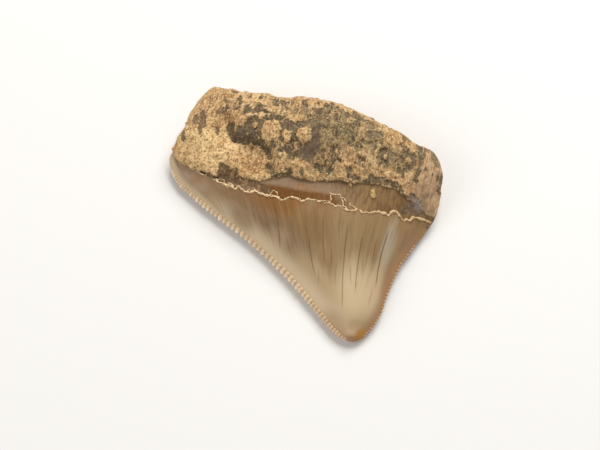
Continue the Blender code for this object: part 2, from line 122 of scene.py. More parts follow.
# Bare places in the crust, and round places where the sand lies thicker, as strokes (x, y, x, y,
# half width) in millimetres. Past its reach a stroke counts as far off.
BARE_STROKES = (
    (-15.3, 12.2, -14.6, 10.4, 0.82), (-14.3, 10.2, -11.5, 9.9, 0.82), (-11.5, 10.2, -8.6, 9.8, 0.65),
    (-8.6, 9.6, -6.9, 8.3, 0.55), (-6.9, 8.2, -6.6, 7.4, 0.4), (-13.2, 11.5, -9.8, 11.4, 0.8),
    (-11.9, 12.6, -11, 13.5, 0.65), (-10.6, 13.9, -9.2, 13.3, 0.5), (-9.5, 13.4, -9.4, 11.4, 0.55),
    (-12.4, 16, -12.3, 14.9, 0.62), (-11.8, 15.4, -10.4, 15.3, 0.45), (-10.7, 15.6, -10.5, 16.9, 0.55),
    (-9.8, 15.7, -8.3, 15.6, 0.3), (-18.4, 15, -17.2, 15.6, 0.72), (-17, 16.2, -16.4, 15.6, 0.35),
    (-17.8, 18, -16.9, 17.2, 0.4), (-14.9, 19.3, -14.2, 16, 0.35), (-22.9, 14, -22.6, 12.8, 0.65),
    (-21.7, 14.8, -21, 11.8, 0.55), (-21.3, 11.3, -21.1, 10.7, 0.42), (-17.9, 11.7, -17.7, 10.8, 0.32),
    (-24.8, 11.2, -24.4, 9.6, 0.28), (-15.8, 4.7, -14.6, 4.6, 0.6), (-15.4, 3.6, -12.9, 3.9, 0.7),
    (-14.8, 2.8, -11, 2.4, 0.75), (-11, 2.2, -8, 2.1, 0.55), (-8, 1.9, -5.6, 1.2, 0.55),
    (-6.5, 5.8, -5.8, 4.9, 0.68), (-20.1, 3.8, -18, 3.4, 0.28), (-17.7, 3.1, -16.3, 2.7, 0.28),
    (-7.4, 14.9, -5.6, 14.6, 0.4), (-4.5, 13.9, -3, 13.5, 0.9), (-2.8, 12.6, -2.7, 10.2, 0.42),
    (-5.4, 13.6, -5.1, 12.9, 0.32), (-5.2, 12.2, -5, 11, 0.3), (-8.8, 14.1, -7, 14.5, 0.26),
    (-2.6, 13.9, -0.6, 14.6, 0.5), (-0.4, 14.9, 1, 15.9, 0.62), (1.1, 16.2, 1, 17.8, 0.45),
    (1.1, 15.4, 1.5, 13, 0.85), (1.8, 12.6, 1.8, 10.6, 0.85), (0.6, 10.4, 0.8, 8.8, 1.3),
    (-2.2, 11.6, -1.4, 10.5, 0.38), (-1.2, 10.3, 0.4, 10.2, 0.36), (-4.7, 8.9, -2.8, 9.6, 0.55),
    (-3, 9, -2.2, 8, 0.6), (-5.2, 11.5, -4.9, 10.9, 0.38), (-5.7, 3.9, -2.2, 5, 0.25),
    (-2.8, 5.4, -2, 5.1, 0.35), (-0.9, 10, -0.6, 8.6, 0.6), (0.2, 5.9, 0.3, 4.9, 0.36),
    (3, 7, 5.4, 6.7, 0.62), (3.4, 9.9, 3.6, 9.2, 0.38), (5.2, 11, 5.4, 9.4, 0.4), (6.2, 9, 7.2, 8.8, 0.3),
    (2.8, 19.6, 4.2, 19.4, 0.7), (0.2, 18.3, 1.4, 18.2, 0.45), (-2.1, 20, -1.8, 18.8, 0.45),
    (-8, 19.6, -7.4, 18.6, 0.5), (-6.2, 18.3, -5, 17.5, 0.3), (6, 18.8, 7, 18, 0.6),
    (8.2, 18.4, 10, 18, 0.62), (6.2, 17, 6.4, 15.4, 0.42), (5.9, 14.3, 8.6, 14.1, 0.78),
    (8.9, 16.9, 9, 14.8, 0.62), (7.8, 15.6, 8.4, 15.2, 0.45), (3.4, 16.4, 3.6, 14.4, 0.32),
    (4.6, 17.6, 4.8, 15.2, 0.3), (4.4, 14.2, 5.2, 13.2, 0.36), (2.4, 17, 2.4, 14.6, 0.25),
    (11.8, 14.7, 14, 15.4, 0.8), (10.4, 13.2, 12.6, 13, 0.52), (12.6, 13.6, 13.6, 13.4, 0.36),
    (9.4, 12.6, 10.2, 12.2, 0.35), (14.3, 11.9, 15.6, 12.4, 0.5), (15.6, 12.4, 16.9, 11.7, 0.5),
    (16.9, 11.6, 17, 10.4, 0.55), (14.2, 11.4, 14.3, 10.3, 0.48), (14.4, 10.2, 16.2, 10.1, 0.42),
    (17.4, 10.6, 18.8, 10.8, 0.5), (18.8, 11.6, 19.4, 13, 0.55), (19.4, 12.9, 20.8, 12.4, 0.58),
    (20.7, 12.2, 20.8, 10.8, 0.5), (19.2, 10.5, 20.8, 10.3, 0.55), (18.4, 9.3, 19.2, 8.8, 0.4),
    (18.2, 14.2, 19, 13.8, 0.4), (21.6, 15.2, 22.3, 12.4, 0.42), (22.4, 12.2, 22, 8.2, 0.38),
    (24.6, 14.4, 25.4, 12.6, 0.4), (26.8, 11, 27, 7.8, 0.3), (9, 7.6, 9.2, 6.3, 0.45),
    (9.9, 6.4, 11, 6.1, 0.32), (13.4, 7.2, 13.5, 6.4, 0.5), (14.2, 6.8, 18.4, 6.6, 0.52),
    (18.9, 6.5, 20.7, 5.3, 0.31), (11.4, 6, 13, 5.9, 0.35), (22, 5.2, 23.5, 4.6, 0.75),
    (21.2, 3.6, 23.9, 3.6, 0.78), (20.3, 3, 21, 2.6, 0.45),
)
SAND_SPOTS = (
    (-25, 7.5, -24.6, 7, 1), (-7.5, 12, -7.2, 11.8, 1.6), (-4, 11.6, -3.9, 11.4, 0.85),
    (-1, 12.9, -0.6, 11.6, 0.95), (-13.2, 13.5, -12.2, 14.4, 0.32), (-12.2, 14.4, -9.4, 14.7, 0.34),
    (-10.4, 12.7, -10.3, 12.5, 0.45), (15.2, 11.2, 15.3, 11.1, 0.5), (20, 11.4, 20.1, 11.3, 0.48),
    (14.2, 4.4, 14.5, 3.9, 0.52), (9.7, 5.1, 9.8, 4.8, 0.27),
)
STROKE_REACH, FAR = 4.0, 9.0
BARE_DEPTH, SPOT_RISE, PATCH_EDGE = 0.22, 0.26, 0.36

# Lumps of the weathered root, and the clots of sand that the solid leaves out: (length, height) of
# each size in millimetres.
LUMPS = ((9.0, 0.55), (4.2, 0.34), (1.9, 0.26), (1.1, 0.16))
SAND_LUMPS = ((0.95, 0.13), (0.52, 0.09))
LABIAL_LUMPS, RIM_RISE = 0.5, 0.15

ROOT_COLUMNS, ROOT_ROWS = 360, 169
CROWN_COLUMNS, CROWN_ROWS = 280, 141
# The root starts under the enamel, by this much as a row place, which is a little over a millimetre,
# and is pulled in there by a depth in millimetres.
TUCK, TUCK_DEPTH = 0.45 / HALF_HEIGHT, 0.8


def step(low, high, x):
    """0 at low and 1 at high, with a smooth change between them."""
    t = np.clip((x - low) / (high - low), 0, 1)
    return t * t * (3 - 2 * t)


def blend(a, b, share):
    """a at share 0 and b at share 1."""
    return a * (1 - share) + b * share


def along(keys, at):
    """Values on a smooth curve through the keys, each a place followed by its values."""
    keys = np.array(keys, float)
    place, value = keys[:, 0], keys[:, 1:]
    slope = np.gradient(value, place, axis=0)
    i = np.clip(np.searchsorted(place, at, side="right") - 1, 0, len(place) - 2)
    span = (place[i + 1] - place[i])[..., None]
    t = (at - place[i])[..., None] / span
    start = (2 * t**3 - 3 * t**2 + 1) * value[i] + (t**3 - 2 * t**2 + t) * span * slope[i]
    end = (3 * t**2 - 2 * t**3) * value[i + 1] + (t**3 - t**2) * span * slope[i + 1]
    return start + end


def straight(keys, at):
    """Values on the straight lines between the keys."""
    return np.interp(at, *np.transpose(keys))


def plan(row, column):
    """x and y in millimetres of a row and column place."""
    share, sides = (column + 1) / 2, along(SIDES, row)
    chord = blend(sides[..., :2], sides[..., 2:], share[..., None])
    bow = along(ROOT_END, share)[..., 0] * row**4
    return chord[..., 0] * HALF_WIDTH, (chord[..., 1] + bow) * HALF_HEIGHT


def rounded(place, power):
    """A quarter of a superellipse: 1 in the middle, falling upright to 0 at place 1."""
    return np.clip(1 - np.abs(place) ** power, 0, 1) ** (1 / power)


def distance_to_path(points, x, y):
    """Distance in millimetres to a path through (x, y) points, and the side, 1 on its left."""
    points = np.array(points, float)
    best, side = np.full(x.shape, np.inf), np.ones(x.shape)
    for start, end in zip(points[:-1], points[1:]):
        run = end - start
        t = ((x - start[0]) * run[0] + (y - start[1]) * run[1]) / max(run @ run, 1e-9)
        t = np.clip(t, 0, 1)
        dx, dy = x - start[0] - t * run[0], y - start[1] - t * run[1]
        gap = np.hypot(dx, dy)
        side = np.where(gap < best, np.sign(run[0] * dy - run[1] * dx), side)
        best = np.minimum(gap, best)
    return best, side


def gap_to_strokes(strokes, x, y):
    """Distance in millimetres to the edge of the nearest stroke, below 0 inside it."""
    best = np.full(x.shape, FAR)
    for x0, y0, x1, y1, half_width in strokes:
        near = np.abs(x - (x0 + x1) / 2) < abs(x1 - x0) / 2 + STROKE_REACH
        near &= np.abs(y - (y0 + y1) / 2) < abs(y1 - y0) / 2 + STROKE_REACH
        gap, _ = distance_to_path(((x0, y0), (x1, y1)), x[near], y[near])
        best[near] = np.minimum(best[near], gap - half_width)
    return best


def noise_at(points, length, shift=0.0):
    """Smooth noise between about -1 and 1 at each point, with lumps of about this length."""
    flat = points.reshape(-1, 3) / length + shift
    return np.array([noise.noise(Vector(p)) for p in flat]).reshape(points.shape[:-1])


def lumps(points, *sizes):
    """A sum of noises in millimetres, each (length, height) and a shift if it has one."""
    return sum(height * noise_at(points, length, *shift) for length, height, *shift in sizes)


def unit(vectors):
    """The same vectors with a length of 1."""
    return vectors / np.maximum(np.linalg.norm(vectors, axis=-1, keepdims=True), 1e-9)


def rim_height(row):
    """Height in millimetres of the edge where the two faces meet."""
    return blend(CUTTING_EDGE_HEIGHT, ROOT_RIM_HEIGHT, step(*RIM_CLIMB, row)) * THICKNESS


def smooth_face(lingual, row, column):
    """Points of a smooth face, the lingual or the labial one, and shares from 0 at its rim to 1 at its
    crest."""
    x, y = plan(row, column)
    if lingual:
        room = np.clip(1 - column**2, 0, 1)
        full = 0.7 * step(0.2, 0.56, row)
        lens = blend(0.55 * room + 0.45 * room**2, 1 - np.abs(column) ** 3, full)
        on_root = step(-0.6, ROOT_BLEND, y - along(SOFT_ENAMEL_LINE, x)[..., 0])
        power, end, end_power = LINGUAL_SIDE_POWER, LINGUAL_END_ROUNDING, LINGUAL_END_POWER
    else:
        lens, on_root = 1 - column**4, step(0.58, 0.68, row)
        power, end, end_power = LABIAL_SIDE_POWER, LABIAL_END_ROUNDING, LABIAL_END_POWER
    share = blend(lens, rounded(column, power), on_root)
    share = share * rounded(np.clip((row - end) / (1 - end), 0, 1), end_power)
    rim = rim_height(row)
    crest = along(LINGUAL_CREST if lingual else LABIAL_CREST, row)[..., 0] * THICKNESS
    height = rim + (crest - rim) * share
    return np.stack([x, y, height], axis=-1), share


# The two solids: the crown up to the enamel's ragged end, and the root that starts just under it. Each
# is two sheets of points that share their rims.
def column_places(count):
    """Column places from -1 at the mesial edge to 1 at the distal one, closest at the edges."""
    even = np.linspace(-1, 1, count)
    return 0.45 * even + 0.55 * np.sin(even * np.pi / 2)


def split_rows(line, columns, waver=()):
    """The row place at which each column crosses a line across the tooth, with its finer waver."""
    rows = np.linspace(0.3, 0.9, 1500)
    row, column = np.meshgrid(rows, columns, indexing="ij")
    x, y = plan(row, column)
    above = y - straight(line, x)
    if waver:
        # x hardly changes from row to row, so the waver follows the one row nearest to the line.
        spots = np.stack([x[len(rows) * 7 // 15], 0 * columns, 0 * columns], axis=-1)
        above -= lumps(spots, *waver)
    first = np.argmax(above > 0, axis=0)
    here = np.arange(len(columns))
    before, after = above[first - 1, here], above[first, here]
    return rows[first - 1] + (rows[1] - rows[0]) * before / (before - after)


def enamel_ends(columns):
    """Row places of the enamel's end on the lingual and the labial face, equal at the cutting edges."""
    lingual = split_rows(ENAMEL_LINE, columns, ((0.55, 0.1, 3.1), (1.3, 0.12, 7.7)))
    labial = split_rows(LABIAL_ENAMEL_LINE, columns)
    return lingual, blend(labial, lingual, step(0.93, 1, np.abs(columns)))


def crown_sheets():
    """Points and marks of the crown's two faces, from the tip to the enamel's end."""
    columns = column_places(CROWN_COLUMNS)
    edge_rows = np.linspace(0, 0.62, 160)
    mesial, distal = (np.stack(plan(edge_rows, 0 * edge_rows + side), axis=-1) for side in (-1, 1))
    sheets, marks = [], []
    for lingual, end in zip((1, 0), enamel_ends(columns)):
        row = np.linspace(0, 1, CROWN_ROWS)[:, None] ** 1.15 * end
        column = np.broadcast_to(columns, row.shape)
        points, _ = smooth_face(lingual, row, column)
        if lingual:
            swell = lumps(points * (1, 0.35, 0), (3.5, 0.05)) + lumps(points * (1, 0.2, 0), (1.2, 0.03))
            points[..., 2] += swell * step(1, 0.9, np.abs(column)) * step(0, 0.1, row)
        points[..., 2] = np.maximum(points[..., 2], 0)
        x, y = points[..., 0], points[..., 1]
        sheets.append(points)
        marks.append({
            "below_line": plan(np.broadcast_to(end, row.shape), column)[1] - y,
            "mesial_gap": distance_to_path(mesial, x, y)[0],
            "distal_gap": distance_to_path(distal, x, y)[0],
            "lingual": 0 * x + lingual,
        })
    return sheets, marks


def bare_places(points, lingual):
    """Gaps in millimetres to the root's bare places, below 0 inside them, and to its spots of sand."""
    x, y = points[..., 0], points[..., 1]
    mottle = lumps(points * (1.25, 0.75, 1), (1.5, 0.62, 11.3), (0.7, 0.38, 2.9))
    if not lingual:
        return 1.3 * (0.22 - mottle - 0.5 * noise_at(points, 5.0, 20.0)), np.full(x.shape, FAR)
    shift_x = lumps(points, (1.5, 0.3), (0.7, 0.26, 5.2))
    shift_y = lumps(points, (1.5, 0.3, 7.7), (0.7, 0.26, 3.1))
    spot = gap_to_strokes(SAND_SPOTS, x + 0.5 * shift_x, y + 0.5 * shift_y)
    thin = step(-15, -9, x) * step(6.5, 9.5, y)
    thin = np.maximum(thin, step(12.5, 15.5, y) * step(-20, -16, x))
    speck = 1.3 * (0.26 - mottle) + 0.55 * (1 - thin)
    bare = np.minimum(gap_to_strokes(BARE_STROKES, x + shift_x, y + shift_y), speck)
    return np.maximum(bare, -spot), spot


def root_relief(points, row, above, crust_gap, bare, spot, lingual):
    """How far the root stands proud of its smooth shape, in millimetres."""
    x, y = points[..., 0], points[..., 1]
    tuck = TUCK_DEPTH * step(0, -0.4, above)
    crust = step(-CRUST_FADE, CRUST_FADE, crust_gap)
    clots = lumps(points, *SAND_LUMPS) * step(-0.1, 0.3, bare)
    rough = lumps(points, *LUMPS)
    if not lingual:
        hollow = 0.9 * np.exp(-((x / (0.24 * HALF_WIDTH)) ** 2)) * step(0.4, 0.65, y / HALF_HEIGHT)
        return LABIAL_LUMPS * rough * crust + 0.5 * clots * crust - ENAMEL_STEP - hollow - tuck
    relief = LEDGE_RISE * crust - ENAMEL_STEP - BOURLETTE_DIP * (1 - crust) - tuck
    gap, side = distance_to_path(BOSS_CREASE, x, y)
    near_boss = step(16, 2, x) * step(19, 13.5, y) * step(3, 9, y)
    relief += BOSS_RISE * step(-0.3, 2.2, gap * side) * near_boss * crust
    relief -= BOSS_CREASE_DEPTH * np.exp(-((gap / BOSS_CREASE_WIDTH) ** 2)) * crust
    upper = step(0.98, 0.9, row)
    relief -= BARE_DEPTH * step(PATCH_EDGE, -PATCH_EDGE, bare) * upper * (0.3 + 0.7 * crust)
    relief += SPOT_RISE * step(PATCH_EDGE, -PATCH_EDGE, spot) * upper
    return relief + (rough + clots) * crust


def rim_relief(points, above):
    """How far the root's rim stands proud, where both faces have the same relief."""
    crust = step(-CRUST_FADE, CRUST_FADE, points[..., 1] - straight(CRUST_LINE, points[..., 0]))
    rise = RIM_RISE + lumps(points, *LUMPS) + 0.5 * lumps(points, *SAND_LUMPS)
    return rise * crust - 0.5 * step(0, -0.4, above)


def loose_sand(points, marks):
    """How much loose sand lies at each point of the root."""
    crust = step(-0.05, 0.2, marks["crust_gap"])
    sand = crust * (0.16 + 0.84 * step(-0.1, 0.25, marks["bare_gap"]))
    sand = np.maximum(sand, 1.3 * step(0.1, -0.15, marks["spot_gap"]))
    on_band = (1 - crust) * step(0.3, 0.8, marks["above_line"]) * step(-6, -9, points[..., 0])
    sand = np.maximum(sand, 1.2 * on_band * step(0.1, 0.5, noise_at(points, 1.1, 3.3)))
    return sand * (0.45 + 0.55 * marks["lingual"]) * step(0.35, 0.7, points[..., 2])


def round_corners(offset, rows=20, columns=7):
    """Runs the rim's offsets evenly round the root's two corners, where its faces stand upright."""
    for corner, way in ((0, 1), (-1, -1)):
        side_end, row_end = offset[-1 - rows, corner].copy(), offset[-1, corner + way * columns].copy()
        run = blend(side_end, row_end, np.linspace(0, 1, rows + columns + 1)[:, None])
        offset[-1 - rows :, corner] = run[: rows + 1]
        for k in range(columns + 1):
            offset[-1, corner + way * k] = run[rows + k]


def root_sheets():
    """Points and marks of the root's two faces, from under the enamel's end to the root's end."""
    columns = column_places(ROOT_COLUMNS)
    share = np.linspace(0, 1, ROOT_ROWS)[:, None]
    far = blend(LINGUAL_END_ROUNDING, 1, np.sin(np.clip(share * 2 - 1, 0, 1) * np.pi / 2))
    sheets, offsets, marks = [], [], []
    for lingual, end in zip((1, 0), enamel_ends(columns)):
        start = end - TUCK
        row = np.where(share < 0.5, blend(start, LINGUAL_END_ROUNDING, np.minimum(share * 2, 1)), far)
        column = np.broadcast_to(columns, row.shape)
        points, at_crest = smooth_face(lingual, row, column)
        x, y = points[..., 0], points[..., 1]
        above = y - plan(np.broadcast_to(end, row.shape), column)[1]
        bare, spot = bare_places(points, lingual)
        crust_gap = y - straight(CRUST_LINE, x) if lingual else above - 0.5
        crust_gap = crust_gap + lumps(points, (1.1, 0.3, 4.4), (0.5, 0.14, 6.1))
        relief = root_relief(points, row, above, crust_gap, bare, spot, lingual)
        relief = blend(rim_relief(points, above), relief, step(0, 0.6, at_crest))
        sheets.append(points)
        normal = unit(np.cross(np.gradient(points, axis=1), np.gradient(points, axis=0)))
        offsets.append((normal if lingual else -normal) * relief[..., None])
        marks.append({
            "above_line": above, "crust_gap": crust_gap, "bare_gap": bare, "spot_gap": spot,
            "lingual": 0 * x + lingual,
        })
    shared = (offsets[0] + offsets[1]) / 2
    round_corners(shared)
    for points, offset, face in zip(sheets, offsets, marks):
        offset[:, 0], offset[:, -1], offset[-1] = shared[:, 0], shared[:, -1], shared[-1]
        points += offset
        points[..., 2] = np.maximum(points[..., 2], 0)
        face["sand"] = loose_sand(points, face)
    return sheets, marks


def placed(name, data):
    """A new object in the scene."""
    made = bpy.data.objects.new(name, data)
    bpy.context.scene.collection.objects.link(made)
    return made


def store(mesh, marks):
    """Stores marks, each values or vectors, at a mesh's points."""
    for mark, values in marks.items():
        kind, part = ("FLOAT_VECTOR", "vector") if np.ndim(values) == 2 else ("FLOAT", "value")
        mesh.attributes.new(mark, kind, "POINT").data.foreach_set(part, np.ravel(values).astype(np.float32))


def strip(a, b, columns):
    """Quads between two rows of points."""
    return [(a[c], a[c + 1], b[c + 1], b[c]) for c in columns]


def closed_mesh(name, sheets, marks, open_row):
    """One closed mesh of two sheets, walled at their open row. The lower sheet keeps every second row."""
    rows, columns = sheets[0].shape[:2]
    upper, lower = np.arange(2 * rows * columns).reshape(2, rows, columns)
    lower[:, 0], lower[:, -1] = upper[:, 0], upper[:, -1]
    if open_row == 0:
        lower[-1] = upper[-1]
    else:
        upper[0], lower[0] = 0, 0
    upper, lower = upper.tolist(), lower.tolist()
    faces = []
    for a, b in zip(upper[:-1], upper[1:]):
        faces += strip(a, b, range(columns - 1))
    for r in range(0, rows - 1, 2):
        a, between, b = lower[r : r + 3]
        faces.append((b[0], b[1], a[1], a[0], between[0]))
        faces += strip(b, a, range(1, columns - 2))
        faces.append((b[-2], b[-1], between[-1], a[-1], a[-2]))
    wall = (lower[0], upper[0]) if open_row == 0 else (upper[-1], lower[-1])
    faces += strip(*wall, range(columns - 1))
    faces = [tuple(dict.fromkeys(face)) for face in faces]
    faces = [face for face in faces if len(face) > 2]
    used = np.unique(np.concatenate(faces))
    place = np.zeros(2 * rows * columns, int)
    place[used] = np.arange(len(used))
    points = np.reshape(sheets, (-1, 3))[used] * MM
    mesh = bpy.data.meshes.new(name)
    mesh.from_pydata(points.tolist(), [], [place[list(face)].tolist() for face in faces])
    store(mesh, {mark: np.ravel([side[mark] for side in marks])[used] for mark in marks[0]})
    mesh.shade_smooth()
    return placed(name, mesh)


# Node trees. Wire is a node's output with arithmetic, Board lays the nodes.
def arithmetic(operation, swapped=False):
    """A method of Wire for one operation, or its reflected form."""

    def method(self, other):
        return self.math(operation, *((other, self) if swapped else (self, other)))

    return method


class Wire:
    """A node's output. Arithmetic on it adds Math nodes to its tree."""

    def __init__(self, board, socket):
        self.board, self.socket = board, socket

    def math(self, operation, *values):
        return self.board.add("Math", dict(enumerate(values)), operation=operation)

    __add__ = __radd__ = arithmetic("ADD")
    __mul__ = __rmul__ = arithmetic("MULTIPLY")
    __sub__, __rsub__ = arithmetic("SUBTRACT"), arithmetic("SUBTRACT", swapped=True)
    __truediv__, __rtruediv__ = arithmetic("DIVIDE"), arithmetic("DIVIDE", swapped=True)
    at_least = arithmetic("MAXIMUM")

    def __abs__(self):
        return self.math("ABSOLUTE", self)

    def __getitem__(self, name):
        """Another output of the same node."""
        return Wire(self.board, self.socket.node.outputs[name])

    def step(self, low, high):
        """0 at low and 1 at high, with a smooth change between them."""
        ends = {0: self, 1: low, 2: high}
        return self.board.add("MapRange", ends, interpolation_type="SMOOTHSTEP")


class Board:
    """A node tree, and the one way in which nodes are laid on it. In a material, place is the place on
    the tooth."""

    def __init__(self, tree):
        self.tree, self.place = tree, None

    def add(self, kind, numbered=None, output=0, **named):
        """Adds a node: its settings, which have small letters, then the values and wires of its inputs,
        by number or by name with _ for a space."""
        kinds = [prefix + kind for prefix in ("ShaderNode", "GeometryNode", "FunctionNode", "")]
        made = self.tree.nodes.new(next(kind for kind in kinds if hasattr(bpy.types, kind)))
        for name in filter(str.islower, named):
            setattr(made, name, named[name])
        inputs = {name.replace("_", " "): named[name] for name in named if not name.islower()}
        for name, value in {**(numbered or {}), **inputs}.items():
            if isinstance(value, Wire):
                self.tree.links.new(value.socket, made.inputs[name])
            else:
                made.inputs[name].default_value = value
        return Wire(self, made.outputs[output] if len(made.outputs) else None)

    def mark(self, name):
        """A mark that was stored on the mesh's points."""
        return self.add("Attribute", output="Fac", attribute_name=name)

    def stored(self, name, kind="FLOAT"):
        """A mark that was stored on the points, in a tree of geometry."""
        return self.add("InputNamedAttribute", data_type=kind, Name=name)

    def x_and_y(self):
        """x and y of the place in millimetres."""
        parts = self.add("SeparateXYZ", Vector=self.place)
        return parts * 1000, parts["Y"] * 1000

    def vector(self, operation, first, second):
        """Vector Math on a vector and another vector, or a share of it for SCALE."""
        values = {0: first, 3 if operation == "SCALE" else 1: second}
        return self.add("VectorMath", values, operation=operation)

    def random(self, low, high, seed):
        """A random value of each element's own."""
        return self.add("RandomValue", {2: low, 3: high, 8: seed}, output=1, data_type="FLOAT")

    def mix(self, share, under, over):
        """One colour laid over another by a share."""
        return self.add("Mix", {0: share, 6: under, 7: over}, output=2, data_type="RGBA")

    def layered(self, tone, *layers, place=None):
        """A colour with others laid over it in turn: (share, red, green, blue), or an oval of tint laid
        out as in the tables of tints."""
        tone = colour(*tone) if isinstance(tone, tuple) else tone
        for share, *tint in layers:
            if len(tint) == 8:
                share, tint = self.oval(share, *tint[:4], place=place) * tint[7], tint[4:7]
            tone = self.mix(share, tone, colour(*tint))
        return tone

    def noise(self, size, detail=2.0, rough=0.5, stretch=(1.0, 1.0, 1.0), shift=0.0):
        """Noise about 0.5 whose lumps have a size in millimetres, stretched along some axes."""
        scale = tuple(1 / (size * MM * s) for s in stretch)
        spot = self.add("Mapping", Vector=self.place, Location=(shift, shift, shift), Scale=scale)
        return self.add("TexNoise", Vector=spot, Scale=1.0, Detail=detail, Roughness=rough)

    def oval(self, x, y, half_x, half_y, turn=0.0, place=None):
        """1 in the middle of a soft oval and 0 outside it. Sizes are in millimetres, its turn in degrees."""
        spot = self.add(
            "Mapping", vector_type="TEXTURE", Vector=place or self.place, Location=(x * MM, y * MM, 0),
            Rotation=(0, 0, np.radians(turn)), Scale=(half_x * MM, half_y * MM, 1),
        )
        return self.add("TexGradient", output=1, gradient_type="SPHERICAL", Vector=spot).step(0, 0.75)

    def uneven(self, strength, depth, height):
        """Normals of a fine relief."""
        return self.add("Bump", Strength=strength, Distance=depth, Height=height)

    def finish(self, tone, roughness, **more):
        """The shader of a surface."""
        return self.add("BsdfPrincipled", Base_Color=tone, Roughness=roughness, **more)


def colour(red, green, blue):
    """A colour from its everyday values of 0 to 255."""
    share = np.array([red, green, blue]) / 255
    linear = np.where(share <= 0.04045, share / 12.92, ((share + 0.055) / 1.055) ** 2.4)
    return (*linear.tolist(), 1.0)


def finish_of(surface):
    """A material whose shader is what surface(board) returns."""
    material = bpy.data.materials.new(surface.__name__)
    material.use_nodes = True
    material.node_tree.nodes.clear()
    board = Board(material.node_tree)
    board.place = board.add("TexCoord", output="Object")
    board.add("OutputMaterial", Surface=surface(board))
    return material


# Hairline cracks in the enamel as three points x, y from the root's end to the tip's, then half width
# and strength.
CRACKS = (
    (-4.5, -0.6, -3.1, -3.6, -1.5, -9.6, 0.26, 0.46), (-0.8, -2.2, 0.4, -5.6, 2.3, -9.4, 0.24, 0.36),
    (2.7, -4.4, 3, -5.4, 3.3, -6.4, 0.26, 0.28), (3.5, -6, 4.6, -9.6, 6.6, -14, 0.18, 0.52),
    (5.6, -1.2, 6.2, -5.4, 7.9, -12, 0.28, 0.34), (8, -6.8, 8.6, -9.4, 8.9, -12.2, 0.22, 0.38),
    (2, -5.7, 2.7, -7.5, 4.4, -11.6, 0.22, 0.26), (10.6, -2, 10.9, -8.6, 12.4, -19, 0.2, 0.44),
    (12.3, -9.6, 12.6, -11.4, 13.3, -14.4, 0.2, 0.34), (13.7, -3, 13.7, -8, 14.2, -15.6, 0.2, 0.48),
    (14.6, -7.6, 14.7, -9.8, 15, -12, 0.2, 0.32), (16.6, -3.2, 16.4, -6.6, 16.3, -9.6, 0.24, 0.34),
    (18.6, -1, 18, -5.6, 17.9, -13.4, 0.2, 0.62), (17.4, -12.6, 17.2, -15, 17, -17.6, 0.22, 0.24),
    (6.5, -11.4, 6.7, -12.8, 7.2, -15.4, 0.2, 0.28), (9.7, -9.8, 9.8, -11.8, 10.4, -15, 0.2, 0.28),
    (-9, -0.4, -8.2, -2.2, -6.8, -5.4, 0.3, 0.3), (-1.2, -5.6, 0, -8.2, 1.8, -11.2, 0.22, 0.24),
    (-6.6, -0.2, -5.8, -2, -4.6, -5, 0.24, 0.26), (8.6, -0.6, 8.9, -3, 9.4, -6.4, 0.24, 0.28),
)
# Soft tints of the enamel, of its tip and of the sand, and the places where the sand is worn thin: an
# oval's middle x and y, half sizes and turn in degrees, then red, green and blue, then strength. One
# sand tint, at (-10, 7.9), is painted shade under the boss's crease.
ENAMEL_TINTS = (
    (-16.5, -0.2, 13, 4.6, -24, 145, 113, 76, 0.88), (-23.4, 4.6, 4.4, 3.2, -34, 172, 148, 122, 0.9),
    (-20, 2.7, 3.6, 1.4, -22, 170, 126, 86, 0.5), (-12.4, -3.2, 4.5, 1.6, -30, 146, 120, 96, 0.5),
    (-2.5, -5, 8, 4.5, -25, 128, 95, 58, 0.85), (5, -4.5, 6.5, 4.5, -10, 131, 102, 63, 0.85),
    (11.5, -4, 5.5, 5.5, 0, 146, 121, 81, 0.75), (23, -1.5, 3, 5, -14, 142, 108, 82, 0.85),
    (18.9, -4.2, 1.9, 8, -7, 176, 162, 138, 0.8), (21.6, 1, 1.4, 1.6, 0, 166, 136, 106, 0.8),
    (13.8, -15, 6.5, 9.5, -8, 210, 188, 148, 0.8), (17.4, -13.5, 2.6, 8, -6, 202, 176, 138, 0.7),
    (6.5, -13.6, 9, 3.2, -42, 192, 163, 120, 0.75), (20.8, -8.8, 1.6, 7, -16, 152, 117, 82, 0.7),
    (-2.4, -7, 3.6, 2.2, -35, 182, 154, 118, 0.6), (-19.8, 1.3, 2.6, 1.2, -15, 178, 154, 130, 0.55),
)
TIP_TINTS = (
    (15.2, -21.2, 2, 1.7, -30, 168, 138, 100, 0.6), (11.8, -21.4, 5.6, 2.8, -40, 164, 126, 84, 0.6),
    (16.5, -22.6, 1.5, 2.6, -20, 172, 122, 40, 0.95), (15.4, -23.5, 2.4, 0.8, -8, 158, 110, 64, 0.7),
)
SAND_TINTS_AND_SHADE = (
    (-18.5, 8.5, 9.5, 5, -14, 255, 218, 156, 0.95), (-10, 5.8, 5.5, 2.8, -10, 192, 142, 88, 0.8),
    (-20, 18, 5.5, 4.5, 10, 198, 152, 104, 0.6), (-15.5, 14.6, 5, 2.6, -10, 196, 142, 94, 0.75),
    (-11, 19.6, 5, 2.4, 0, 216, 180, 130, 0.7), (25.2, 9, 4.2, 9.5, 0, 194, 162, 126, 0.95),
    (4.5, 14, 7, 6, 0, 190, 164, 116, 0.6), (20.6, 7.8, 2.4, 2, 0, 232, 194, 142, 0.85),
    (-24.9, 7.4, 1.6, 1.8, 0, 222, 176, 126, 0.7), (-18.2, 12, 2, 1.6, 0, 146, 102, 66, 0.7),
    # The tint at (-10, 7.9) is painted shade: the sand under the boss's crease, darkened as if in its
    # shadow.
    (13, 11.5, 5.5, 5, 0, 184, 160, 116, 0.55), (-10, 7.9, 3.6, 1.3, -12, 146, 110, 72, 0.75),
    (-9, 5, 2.4, 1.8, 0, 168, 122, 78, 0.65), (-16.9, 9.4, 1.8, 2.8, -20, 206, 166, 114, 0.6),
)
